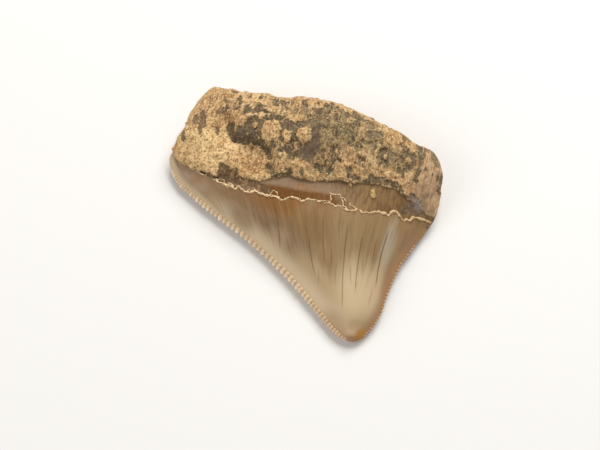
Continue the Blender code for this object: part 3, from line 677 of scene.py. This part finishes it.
WORN_PLACES = (
    (5, 13.8, 6.5, 8, 0, 1), (-2.5, 17.5, 8, 4.5, 0, 0.75), (11.5, 15.5, 6, 5, -15, 0.75),
    (18, 11.5, 7, 4.5, -15, 0.8), (24.8, 12.5, 3, 4.5, 0, 0.3), (-17.5, 16.5, 8, 5, 0, 0.65),
    (4, 8.5, 7, 4, 0, 0.65), (-4, 8.5, 5, 4.5, 0, 0.45),
)


def crack_lines(board, x, y):
    """Dark hairlines in the enamel, each on a smooth curve through its three points."""
    dark = 0
    for x0, y0, x1, y1, x2, y2, half_width, strength in CRACKS:
        bend = np.polyfit([y0, y1, y2], [x0, x1, x2], 2).tolist()
        line = (y * bend[0] + bend[1]) * y + bend[2]
        fade = min(2, (y0 - y2) / 2.5)
        shown = y.step(y0 + 0.4, y0 - fade) * y.step(y2, y2 + 1.3 * fade)
        dark = (abs(x - line).step(half_width, 0) * shown * strength).at_least(dark)
    return dark


def enamel(board):
    """Satin enamel: grey on the shoulders, cream towards the tip, stained along the root, finely cracked,
    with a pale band along the mesial edge that is partly a painted highlight.
    """
    x, y = board.x_and_y()
    below, mesial, distal = board.mark("below_line"), board.mark("mesial_gap"), board.mark("distal_gap")
    bend = (board.noise(2.6) - 0.5) * 0.5
    sweep = board.add("CombineXYZ", X=(x - 14) / (y + 38) * 26, Y=y * 0.035)
    broad = board.add("TexNoise", Vector=sweep, Scale=1.3, Detail=3, Roughness=0.6)
    fine = board.add("TexNoise", Vector=sweep, Scale=5.5, Detail=3, Roughness=0.62)
    drift = ((broad - 0.5) * 3.2 + (fine - 0.5) * 1.1) * y.step(-18, -12)
    streaked = board.add("CombineXYZ", X=x * MM, Y=(y + drift) * MM)
    tone = board.layered((148, 120, 83), *ENAMEL_TINTS, place=streaked)
    amber = board.oval(-4.4, -1.2, 8, 2.7, -8, streaked) * board.mark("lingual")
    stain = below.step(6, 0.3) * (board.noise(5, shift=3).step(0.3, 0.62) * 0.75 + 0.25)
    rust = board.noise(2, shift=9).step(0.45, 0.7)
    # The pale band along the mesial edge, wider from its middle to the tip, is partly paler thin enamel and
    # partly a painted highlight.
    pale = mesial.step(1.8, 0.4).at_least(mesial.step(3.8, 1.2) * x.step(-23, -9))
    pale = pale * (1 - board.oval(-10.2, -3.9, 4.6, 1.9, -36) * 0.75)
    tone = board.layered(
        tone,
        (amber * 0.95, 126, 80, 18),
        (stain * x.step(14, 2) * 0.8, 132, 90, 40),
        (stain * x.step(4, 14) * 0.55, 146, 116, 70),
        (below.step(2.2, 0.1) * rust * 0.6, 132, 82, 32),
        (pale * 0.82, 222, 199, 162),
        (mesial.step(0.9, 0.1) * 0.5, 190, 154, 108),
        (distal.step(1.9, 0.3) * y.step(2, -6) * 0.65, 166, 124, 88),
        (broad.step(0.5, 0.66) * below.step(18, 2) * 0.3, 112, 92, 50),
        (broad.step(0.5, 0.36) * below.step(15, 3) * 0.2, 174, 138, 92),
        (fine.step(0.53, 0.68) * below.step(17, 4) * 0.3, 108, 82, 44),
        (fine.step(0.47, 0.34) * below.step(17, 4) * 0.18, 180, 152, 108),
        *TIP_TINTS,
    )
    cracks = crack_lines(board, x + bend * 0.35, y) * board.noise(1.6, shift=1).step(0.16, 0.46)
    tone = board.layered(tone, (cracks * 1.25, 70, 55, 26))
    tone = board.vector("MULTIPLY", tone, (1.02, 1.025, 1.06))
    bump = board.uneven(0.12, 0.0001, fine * 0.15 + board.noise(0.5) * 0.12 - cracks * 0.8)
    return board.finish(
        tone, broad * 0.12 + 0.36, Normal=bump, Specular_IOR_Level=0.32, Coat_Weight=0.12,
        Coat_Roughness=0.22, Subsurface_Weight=0.12, Subsurface_Radius=(1, 0.6, 0.35),
        Subsurface_Scale=0.0012,
    )


def sandy_root(board):
    """Tan sand cemented on a dark root, with the smooth stained bourlette below it, painted shade along the
    crust's edge, the enamel's end and the boss's crease, and a painted highlight on a dark patch of the
    bourlette.
    """
    x, y = board.x_and_y()
    above, crust_gap = board.mark("above_line"), board.mark("crust_gap")
    bare_gap, spot_gap = board.mark("bare_gap"), board.mark("spot_gap")
    clots = board.noise(0.95, 4, 0.62)
    grains = board.noise(0.42, 3, 0.65, shift=2)
    broad = board.noise(4.5, 3, shift=4)
    upright = board.noise(0.52, 3, 0.6, stretch=(1, 4.5, 3), shift=6)
    ragged = (clots - 0.5) * 1.6 + (grains - 0.5) * 1.4
    wood = upright * 0.6 + clots * 0.4
    worn = 0
    for *size, strength in WORN_PLACES:
        worn = (board.oval(*size) * strength).at_least(worn)
    far_end = x.step(19.5, 24.5)
    mixed = x.step(-4, 3) * x.step(21, 18)
    lively = (1 - x.step(-8, 2) * 0.35) * (1 - far_end * 0.45)
    ridges = board.noise(0.75, 3, 0.6, stretch=(1, 6, 4), shift=18)

    sand = board.layered(
        (212, 175, 124),
        (broad.step(0.4, 0.6), 192, 153, 104),
        *SAND_TINTS_AND_SHADE,
        (board.noise(2.2, shift=8).step(0.55, 0.7) * 0.45, 186, 132, 84),
        (clots.step(0.51, 0.62) * lively * 0.5, 238, 206, 152),
        (clots.step(0.49, 0.37) * (1 - far_end * 0.5) * 0.6, 148, 112, 70),
        (grains.step(0.49, 0.38) * (1 - far_end * 0.4) * 0.68, 116, 84, 50),
        (grains.step(0.52, 0.62) * lively * 0.55, 248, 222, 172),
        (board.noise(0.38, shift=12).step(0.6, 0.68) * 0.4, 192, 126, 74),
        (far_end * 0.55, 192, 160, 124),
        (upright.step(0.5, 0.38) * x.step(19, 22) * 0.4, 122, 98, 76),
        (ridges.step(0.5, 0.41) * far_end * 0.45, 122, 101, 77),
        (ridges.step(0.53, 0.62) * far_end * 0.32, 216, 184, 148),
        (wood.step(0.48, 0.41) * mixed * 0.55, 112, 92, 62),
    )

    hues = board.noise(1.7, 3, shift=15)
    sprinkled = grains.step(0.53, 0.63) * (worn * 0.36 + 0.34) * bare_gap.step(-1, -0.2)
    bone = board.layered(
        (94, 77, 54),
        (broad.step(0.42, 0.58), 116, 99, 72),
        (upright.step(0.5, 0.64) * 0.45, 142, 122, 92),
        (upright.step(0.48, 0.36) * 0.6, 62, 50, 36),
        (hues.step(0.5, 0.62) * 0.55, 104, 80, 68),
        (hues.step(0.48, 0.38) * 0.5, 108, 102, 74),
        (clots.step(0.53, 0.63) * 0.5, 156, 134, 102),
        (clots.step(0.47, 0.37) * 0.45, 66, 54, 42),
        (-9.5, 2.4, 10.5, 3.2, -14, 104, 75, 49, 0.85),
        (clots.step(0.53, 0.6) * board.oval(-10.5, 2.6, 8, 2.6, -12) * 0.65, 190, 148, 100),
        (x.step(-15, -18) * 0.6, 106, 82, 62),
        (x.step(8, 13) * 0.35, 122, 102, 76),
        (22.6, 4.2, 4.2, 3, 0, 128, 104, 84, 0.7),
        # Painted highlight: a pale bluish glint on the bourlette's dark patch.
        (23.3, 4.7, 1.9, 1.5, -30, 160, 144, 136, 0.8),
        # Painted shade: the bare root darkened further in the crease under the boss's nose.
        (-11.5, 10.4, 5.5, 1.8, -8, 82, 66, 50, 0.3),
        (sprinkled, 192, 166, 116),
        (wood.step(0.51, 0.58) * mixed * 0.45, 172, 148, 106),
        (1.2, 10.4, 3, 5.4, 0, 96, 78, 62, 0.75),
        (grains.step(0.48, 0.37) * 0.45, 54, 43, 32),
    )

    fibres = board.noise(0.52, 3, 0.6, stretch=(1, 5, 3), shift=21) - 0.5
    is_bare = (bare_gap + ragged * 0.36 + fibres * mixed * 1.35).step(0.2, -0.14)
    is_bare = is_bare * (x.step(-19, -15) * 0.12 + 0.88)
    scuffed = (upright * 0.7 + clots * 0.15 + grains * 0.15 + worn * 0.17).step(0.59, 0.68) * 0.85
    crust = board.mix(is_bare.at_least(scuffed * spot_gap.step(0, 0.3)), sand, bone)

    stain = board.noise(3, 3, stretch=(2.5, 1, 1), shift=5)
    warm = (y + (stain - 0.5) * 1.4).step(2.9, 2) * (x + y * 0.8).step(11.5, 7.5) * x.step(-8, -5)
    mesial_end, distal_half = x.step(-16, -8), x.step(0, 14)
    band = board.layered(
        (147, 121, 94),
        (x.step(4, 15), 144, 113, 75),
        (stain.step(0.52, 0.68) * 0.35, 150, 112, 70),
        (warm * 0.95, 110, 66, 10),
        (0.6, 3, 3.2, 1, -10, 158, 116, 78, 0.6),
        (-3, 3.5, 3.6, 0.8, -6, 144, 120, 96, 0.7),
        (upright.step(0.5, 0.38) * (distal_half * 0.3 + 0.18), 92, 66, 36),
        (upright.step(0.51, 0.62) * distal_half * 0.28, 172, 140, 98),
        # Painted shadow: a dark line on the bourlette just above the enamel's crumbling end.
        (above.step(0.55, 0.1) * mesial_end * 0.5, 84, 56, 30),
        # Painted shade: the bourlette darkened just under the crust's raised edge.
        (crust_gap.step(-0.8, -0.1) * mesial_end * 0.5, 92, 66, 44),
        (17.4, 2.4, 2.8, 1.4, 0, 104, 80, 50, 0.5),
        (grains.step(0.55, 0.68) * 0.22, 184, 152, 108),
    )
    band = board.mix(is_bare * 0.9, band, bone)
    is_spot = (spot_gap + ragged * 0.3).step(0.1, -0.1)
    band = board.mix(is_spot, band, board.layered(sand, (0.45, 226, 188, 120)))

    is_crust = (crust_gap + ragged * 0.26).step(-0.08, 0.1)
    sanded = (is_crust * (1 - is_bare.at_least(scuffed))).at_least(is_spot)
    height = (clots + grains) * 0.9 * (sanded * (0.85 - far_end * 0.45) + 0.15)
    height = height + upright * (1 - sanded) * 0.45 + sanded * 0.35
    bump = board.uneven(0.85, 0.00024, height)
    roughness = is_crust * 0.2 + sanded * 0.22 + 0.5
    return board.finish(board.mix(is_crust, band, crust), roughness, Normal=bump, Specular_IOR_Level=0.22)


def crumbly_enamel(board):
    """The cream, crumbling end of the enamel."""
    crumbs = board.noise(0.5, 3)
    distal = board.x_and_y()[0].step(5, 14) * 0.45
    tone = board.layered((184, 152, 110), (crumbs.step(0.38, 0.58), 240, 214, 172), (distal, 190, 154, 108))
    return board.finish(tone, 0.95, Specular_IOR_Level=0.1, Normal=board.uneven(0.5, 0.0001, crumbs))


def serration_enamel(board):
    """Polished enamel of the serrations: cream at their ends and brown in the notches between them, with
    painted shade over the distal ones.
    """
    reach = board.mark("reach")
    tone = board.layered(
        (236, 204, 164),
        (board.mark("tint"), 248, 226, 192),
        (reach.step(0.25, -0.2) * 0.5, 186, 146, 98),
        (reach.step(-0.2, -0.6) * 0.85, 212, 188, 150),
        (11, -21, 9, 5, -36, 190, 152, 106, 0.45),
        # Painted shade: the distal serrations darkened as if their edge lay in shadow.
        (board.oval(19.8, -11, 4.6, 19, -16).step(0, 0.5) * 0.88, 172, 130, 90),
    )
    return board.finish(tone, 0.42, Coat_Weight=0.2, Coat_Roughness=0.25)


def sand_grain(board):
    """Quartz sand, each grain of its own shade."""
    shades = (
        (0, 112, 84, 58), (0.18, 160, 122, 82), (0.45, 204, 166, 118), (0.75, 226, 192, 142),
        (0.93, 240, 218, 180), (1, 188, 130, 84),
    )
    tone = board.add("ValToRGB", Fac=board.mark("tint"))
    stops = tone.socket.node.color_ramp.elements
    while len(stops) < len(shades):
        stops.new(0.5)
    for stop, (share, *shade) in zip(stops, shades):
        stop.position, stop.color = share, colour(*shade)
    return board.finish(board.layered(tone, (25, 8.5, 4, 9.5, 0, 180, 148, 112, 0.5)), 0.72)


def pale_floor(board):
    """A plain matt floor."""
    return board.finish((0.86, 0.855, 0.84, 1), 0.9)


# What repeats or follows a line: serrations, the crumbling end of the enamel and loose sand, each
# grown by a Geometry Nodes tree.
def shape_tree(name, *sizes):
    """A tree with a geometry and named inputs. Returns its board and its inputs."""
    tree = bpy.data.node_groups.new(name, "GeometryNodeTree")
    kinds = {"Geometry": "Geometry", "Seed": "Int", "Finish": "Material"}
    for label in ("Geometry", *sizes):
        kind = "NodeSocket" + kinds.get(label, "Float")
        tree.interface.new_socket(label, in_out="INPUT", socket_type=kind)
    tree.interface.new_socket("Geometry", in_out="OUTPUT", socket_type="NodeSocketGeometry")
    board = Board(tree)
    return board, board.add("NodeGroupInput")


def end_tree(board, given, shape):
    """Ends a tree with real geometry and its finish."""
    real = board.add("RealizeInstances", Geometry=shape)
    done = board.add("SetMaterial", Geometry=real, Material=given["Finish"])
    board.add("NodeGroupOutput", {0: done})
    return board.tree


def keep(board, shape, name, value, domain):
    """Stores a value as a mark on each point or instance."""
    how = {"data_type": "FLOAT", "domain": domain}
    return board.add("StoreNamedAttribute", **how, Geometry=shape, Name=name, Value=value)


def serration_tree():
    """Rounded cusps at the points of a cutting edge, each pointing to its stored outside."""
    halves = ("Half Along", "Half Out", "Half Through")
    board, given = shape_tree("serration_row", *halves, "Taper", "Sunk", "Unevenness", "Seed", "Finish")
    seed, uneven = given["Seed"], given["Unevenness"]
    edge = board.add("MeshToCurve", Mesh=given["Geometry"])
    stops = board.add("CurveToPoints", mode="EVALUATED", Curve=edge)
    tangent, outside = stops["Tangent"], board.stored("outside", "FLOAT_VECTOR")
    size = board.stored("size") * (1 + board.random(-1.0, 1.0, seed) * uneven)
    slide = board.random(-1.0, 1.0, seed + 1) * uneven * size * given["Half Along"]
    inward = board.vector("SCALE", outside, size * given["Sunk"] * -1)
    offset = board.vector("ADD", board.vector("SCALE", tangent, slide), inward)
    moved = board.add("SetPosition", Geometry=stops, Offset=offset)
    axes = {"primary_axis": "X", "secondary_axis": "Y"}
    turned = board.add("AxesToRotation", **axes, Primary_Axis=tangent, Secondary_Axis=outside)
    scale = board.add("CombineXYZ", {k: given[half] * size for k, half in enumerate(halves)})
    parts = board.add("SeparateXYZ", Vector=board.add("InputPosition"))
    reach = parts["Y"]
    narrow = 1 - reach * given["Taper"]
    shaped = board.add("CombineXYZ", X=parts * narrow, Y=reach, Z=parts["Z"] * narrow)
    cusp = board.add("MeshUVSphere", Segments=12, Rings=8, Radius=1.0)
    cusp = board.add("SetPosition", Geometry=cusp, Position=shaped)
    cusp = keep(board, cusp, "reach", reach, "POINT")
    cusps = board.add("InstanceOnPoints", Points=moved, Instance=cusp, Rotation=turned, Scale=scale)
    cusps = keep(board, cusps, "tint", board.random(0.0, 1.0, seed), "INSTANCE")
    return end_tree(board, given, board.add("SetShadeSmooth", Geometry=cusps))


def crumbly_line_tree():
    """A ragged, lumpy thread along a line, thicker where its stored size is larger."""
    board, given = shape_tree("crumbly_line", "Half Thickness", "Step", "Waver", "Grain", "Finish")
    line = board.add("MeshToCurve", Mesh=given["Geometry"])
    line = board.add("ResampleCurve", mode="LENGTH", Curve=line, Length=given["Step"])
    here = board.add("InputPosition")
    waver = board.add("TexNoise", output="Color", Vector=here, Scale=1500.0, Detail=3.0)
    waver = board.vector("SCALE", board.vector("SUBTRACT", waver, (0.5, 0.5, 0.5)), given["Waver"])
    waver = board.vector("MULTIPLY", waver, (1.0, 1.0, 0.4))
    line = board.add("SetPosition", Geometry=line, Offset=waver)
    swell = board.add("TexNoise", Vector=here, Scale=1300.0, Detail=3.0).step(0.36, 0.66)
    thickness = (swell * 0.8 + 0.65) * board.stored("size") * given["Half Thickness"]
    ring = board.add("CurvePrimitiveCircle", Resolution=7, Radius=1.0)
    thread = board.add("CurveToMesh", Curve=line, Profile_Curve=ring, Scale=thickness, Fill_Caps=True)
    grain = board.add("TexNoise", Vector=here, Scale=4800.0, Detail=2.0) - 0.5
    push = board.vector("SCALE", board.add("InputNormal"), grain * given["Grain"])
    thread = board.add("SetPosition", Geometry=thread, Offset=push)
    return end_tree(board, given, board.add("SetShadeSmooth", Geometry=thread))


def sand_tree():
    """Angular grains scattered over a surface, as dense as its stored amount of sand."""
    board, given = shape_tree("scattered_sand", "Density", "Smallest", "Largest", "Sunk", "Seed", "Finish")
    seed, smallest = given["Seed"], given["Smallest"]
    density = given["Density"] * board.stored("sand")
    points = board.add("DistributePointsOnFaces", Mesh=given["Geometry"], Density=density, Seed=seed)
    chance = board.random(0.0, 1.0, seed + 1)
    size = smallest + (given["Largest"] - smallest) * chance * chance * chance
    sunk = board.vector("SCALE", points["Normal"], size * given["Sunk"] * -1)
    points = board.add("SetPosition", Geometry=points, Offset=sunk)
    spin = {0: (0.0, 0.0, 0.0), 1: (6.28, 6.28, 6.28), 8: seed}
    spin = board.add("EulerToRotation", Euler=board.add("RandomValue", spin, data_type="FLOAT_VECTOR"))
    wide, high = board.random(0.6, 1.0, seed + 2), board.random(0.5, 0.9, seed + 3)
    grain = board.add("MeshIcoSphere", Radius=1.0, Subdivisions=1)
    scale = board.add("CombineXYZ", X=size, Y=size * wide, Z=size * high)
    grains = board.add("InstanceOnPoints", Points=points, Instance=grain, Rotation=spin, Scale=scale)
    return end_tree(board, given, keep(board, grains, "tint", board.random(0.0, 1.0, seed + 4), "INSTANCE"))


def grow(name, source, tree, **sizes):
    """Runs a tree on a source object and keeps what it makes as a plain mesh of its own."""
    growth = source.modifiers.new(tree.name, "NODES")
    growth.node_group = tree
    for socket in tree.interface.items_tree:
        name_of_size = socket.name.replace(" ", "_")
        if name_of_size in sizes:
            growth[socket.identifier] = sizes[name_of_size]
    seen = bpy.context.evaluated_depsgraph_get()
    shape = source.evaluated_get(seen)
    mesh = bpy.data.meshes.new_from_object(shape, preserve_all_data_layers=True, depsgraph=seen)
    source.modifiers.remove(growth)
    mesh.name = name
    return placed(name, mesh)


def grow_on_line(name, lines, marks, tree, **sizes):
    """Runs a tree on lines of points in millimetres, which carry marks."""
    edges, first = [], 0
    for line in lines:
        edges += [(first + k, first + k + 1) for k in range(len(line) - 1)]
        first += len(line)
    mesh = bpy.data.meshes.new(name + "_line")
    mesh.from_pydata((np.concatenate(lines) * MM).tolist(), edges, [])
    store(mesh, marks)
    source = placed(name + "_line", mesh)
    made = grow(name, source, tree, **sizes)
    bpy.data.objects.remove(source)
    return made


# How steeply the serrations point down, and their spacing along each cutting edge, as (row place,
# millimetres). Halves are a cusp's half sizes along the edge, outwards and through, as shares of the
# spacing, and then how far inside the edge its middle lies.
CUSP_TILT = np.radians(34.0)
MESIAL_SPACING = (
    (0.022, 0.62), (0.1, 0.78), (0.18, 0.92), (0.26, 1.08), (0.42, 1.14), (0.5, 0.98), (0.53, 0.7),
    (0.58, 0.55),
)
DISTAL_SPACING = ((0.045, 0.6), (0.2, 0.72), (0.4, 0.78), (0.5, 0.7))
MESIAL_HALVES, DISTAL_HALVES = (0.47, 0.74, 0.42, 0.25), (0.44, 0.38, 0.33, 0.175)


def serrations(name, side, spacing, halves, seed, tree, finish):
    """The cusps of one cutting edge, with side -1 for the mesial one and 1 for the distal one."""
    rows = np.linspace(spacing[0][0], spacing[-1][0], 2000)
    line = np.stack(plan(rows, 0 * rows + side), axis=-1)
    steps = np.linalg.norm(np.diff(line, axis=0), axis=1) / straight(spacing, rows[1:])
    count = np.concatenate([[0], np.cumsum(steps)])
    rows = np.interp(np.arange(0, count[-1]), count, rows)
    line = np.stack([*plan(rows, 0 * rows + side), rim_height(rows)], axis=-1)
    run = unit(np.gradient(line[:, :2], axis=0)) * side
    down = 0 * rows - np.tan(CUSP_TILT)
    marks = {
        "outside": unit(np.stack([run[:, 1], -run[:, 0], down], axis=-1)),
        "size": straight(spacing, rows),
    }
    half_along, half_out, half_through, sunk = (half * MM for half in halves)
    return grow_on_line(
        name, [line], marks, tree, Half_Along=half_along, Half_Out=half_out, Half_Through=half_through,
        Sunk=sunk, Taper=0.28, Unevenness=0.16, Seed=seed, Finish=finish,
    )


# Threads that leave the enamel's end and cross the bourlette, and others on the crust's lower edge.
CRUMB_BRANCHES = (
    ((5.9, 2.9), (6.4, 2.5), (7.1, 2.8), (8.1, 2.9), (8.3, 2.4), (8.7, 1.7), (9, 0.8)),
    ((6.3, 2.4), (6.5, 1.7), (6.6, 0.9)), ((8.4, 2.3), (9.2, 2.2), (9.4, 1.9)),
    ((10.2, 1.7), (10.5, 1.3), (11.1, 1.1), (11.8, 0.9), (12, 0.6)),
    ((-5.3, 0.5), (-5.2, 1), (-4.7, 1.3), (-4, 1.2), (-3.7, 0.7), (-3.8, 0.2)),
    ((8.4, 5.4), (9.3, 5.4), (10.7, 5.5)), ((4.5, 5.3), (4.9, 5), (5.4, 4.8)),
    ((18.4, 6.9), (19, 6.5), (19, 6)), ((18, 1.1), (18.5, 1), (19.2, 1.4), (20, 1.5), (20.8, 1)),
)


def laid_on(sheet, places):
    """Points of a path laid on the nearest points of a sheet."""
    flat = sheet.reshape(-1, 3)
    ends = np.linspace(0, len(places) - 1, 8 * len(places))
    x, y = (np.interp(ends, range(len(places)), axis) for axis in zip(*places))
    nearest = [np.argmin((flat[:, 0] - px) ** 2 + (flat[:, 1] - py) ** 2) for px, py in zip(x, y)]
    return np.stack([x, y, flat[nearest, 2]], axis=-1)


def enamel_crumbs(crown, root, finish, tree):
    """The crumbling end of the enamel on both faces, with its branches over the bourlette."""
    lingual, labial = crown[0][-1, 3:-3], crown[1][-1, 3:-3]
    labial = labial + (0, 0.05, 0.06)
    labial[:, 2] = np.maximum(labial[:, 2], 0.2)
    spots, x = lingual * (1, 0, 0), lingual[:, 0]
    size = 0.95 + lumps(spots, (2.3, 0.55, 1.7), (0.8, 0.3, 9.7))
    size *= 0.55 + 0.45 * step(-20, -13, x) + 0.2 * step(2, 9, x)
    wander = 0.12 + lumps(spots, (0.9, 0.55, 4.4), (0.45, 0.3, 6.4))
    second = lingual + np.stack([0 * wander, wander, 0.05 - 0.1 * wander], axis=-1)
    lines = [lingual + (0, 0.03, 0.02), labial, second]
    sizes = [size, np.full(len(labial), 0.5), size * 0.75]
    for places in CRUMB_BRANCHES:
        lines.append(laid_on(root[0], places) + (0, 0, 0.04))
        sizes.append(np.full(len(lines[-1]), 0.62))
    marks = {"size": np.maximum(np.concatenate(sizes), 0.25)}
    return grow_on_line(
        "enamel_crumbs", lines, marks, tree, Half_Thickness=0.15 * MM, Step=0.08 * MM, Waver=0.85 * MM,
        Grain=0.3 * MM, Finish=finish,
    )


# The tooth.
crown_points, crown_marks = crown_sheets()
root_points, root_marks = root_sheets()
crown = closed_mesh("enamel_crown", crown_points, crown_marks, -1)
root = closed_mesh("sandy_root", root_points, root_marks, 0)
crown.data.set_sharp_from_angle(angle=np.radians(50.0))
crown.data.materials.append(finish_of(enamel))
root.data.materials.append(finish_of(sandy_root))

cusps, polish = serration_tree(), finish_of(serration_enamel)
mesial = serrations("mesial_serrations", -1, MESIAL_SPACING, MESIAL_HALVES, 11, cusps, polish)
distal = serrations("distal_serrations", 1, DISTAL_SPACING, DISTAL_HALVES, 23, cusps, polish)
crumbs = enamel_crumbs(crown_points, root_points, finish_of(crumbly_enamel), crumbly_line_tree())
grains = grow(
    "sand_grains", root, sand_tree(), Density=3.4e6, Smallest=0.06 * MM, Largest=0.24 * MM, Sunk=0.25,
    Seed=5, Finish=finish_of(sand_grain),
)
for piece in (crown, root, mesial, distal, crumbs, grains):
    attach(piece, ROOT_BODY)
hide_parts("tooth")
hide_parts("tooth")

# Floor, light and camera, in metres. The floor lies a hair below the tooth.
FLOOR_HALF, FLOOR_HEIGHT = 1, -0.00005
corners = [(x * FLOOR_HALF, y * FLOOR_HALF, FLOOR_HEIGHT) for x, y in ((-1, -1), (1, -1), (1, 1), (-1, 1))]
floor = placed("floor", bpy.data.meshes.new("floor"))
floor.data.from_pydata(corners, [], [(0, 1, 2, 3)])
floor.data.materials.append(finish_of(pale_floor))


def aimed(name, data, place, direction):
    """A new object at a place that looks in a direction."""
    made = placed(name, data)
    made.location = place
    made.rotation_euler = direction.to_track_quat("-Z", "Y").to_euler()
    return made


def soft_light(name, place, size, power, tint):
    """A square soft light that points at the tooth."""
    lamp = bpy.data.lights.new(name, "AREA")
    lamp.shape, lamp.size, lamp.energy, lamp.color = "SQUARE", size, power, tint
    aimed(name, lamp, place, -Vector(place))


soft_light("window", (0.1, 0.34, 0.46), 0.34, 3.1, (1.0, 0.985, 0.96))
soft_light("reflector", (-0.45, -0.3, 0.38), 0.5, 1.3, (1.0, 0.97, 0.94))

world = bpy.data.worlds.new("room")
world.use_nodes = True
world.node_tree.nodes["Background"].inputs["Color"].default_value = (1.0, 0.985, 0.965, 1.0)
world.node_tree.nodes["Background"].inputs["Strength"].default_value = 0.36
bpy.context.scene.world = world
bpy.context.scene.view_settings.view_transform = "Standard"

AZIMUTH, ELEVATION, DISTANCE = np.radians(10.5), np.radians(70.0), 0.196
LOOK_AT = Vector((0.0013, -0.00305, 0.004))
level = np.cos(ELEVATION)
towards = Vector((np.sin(AZIMUTH) * level, -np.cos(AZIMUTH) * level, np.sin(ELEVATION)))
lens = bpy.data.cameras.new("camera")
lens.lens, lens.sensor_width, lens.clip_start = 60.0, 36.0, 0.01
bpy.context.scene.camera = aimed("camera", lens, LOOK_AT + towards * DISTANCE, -towards)
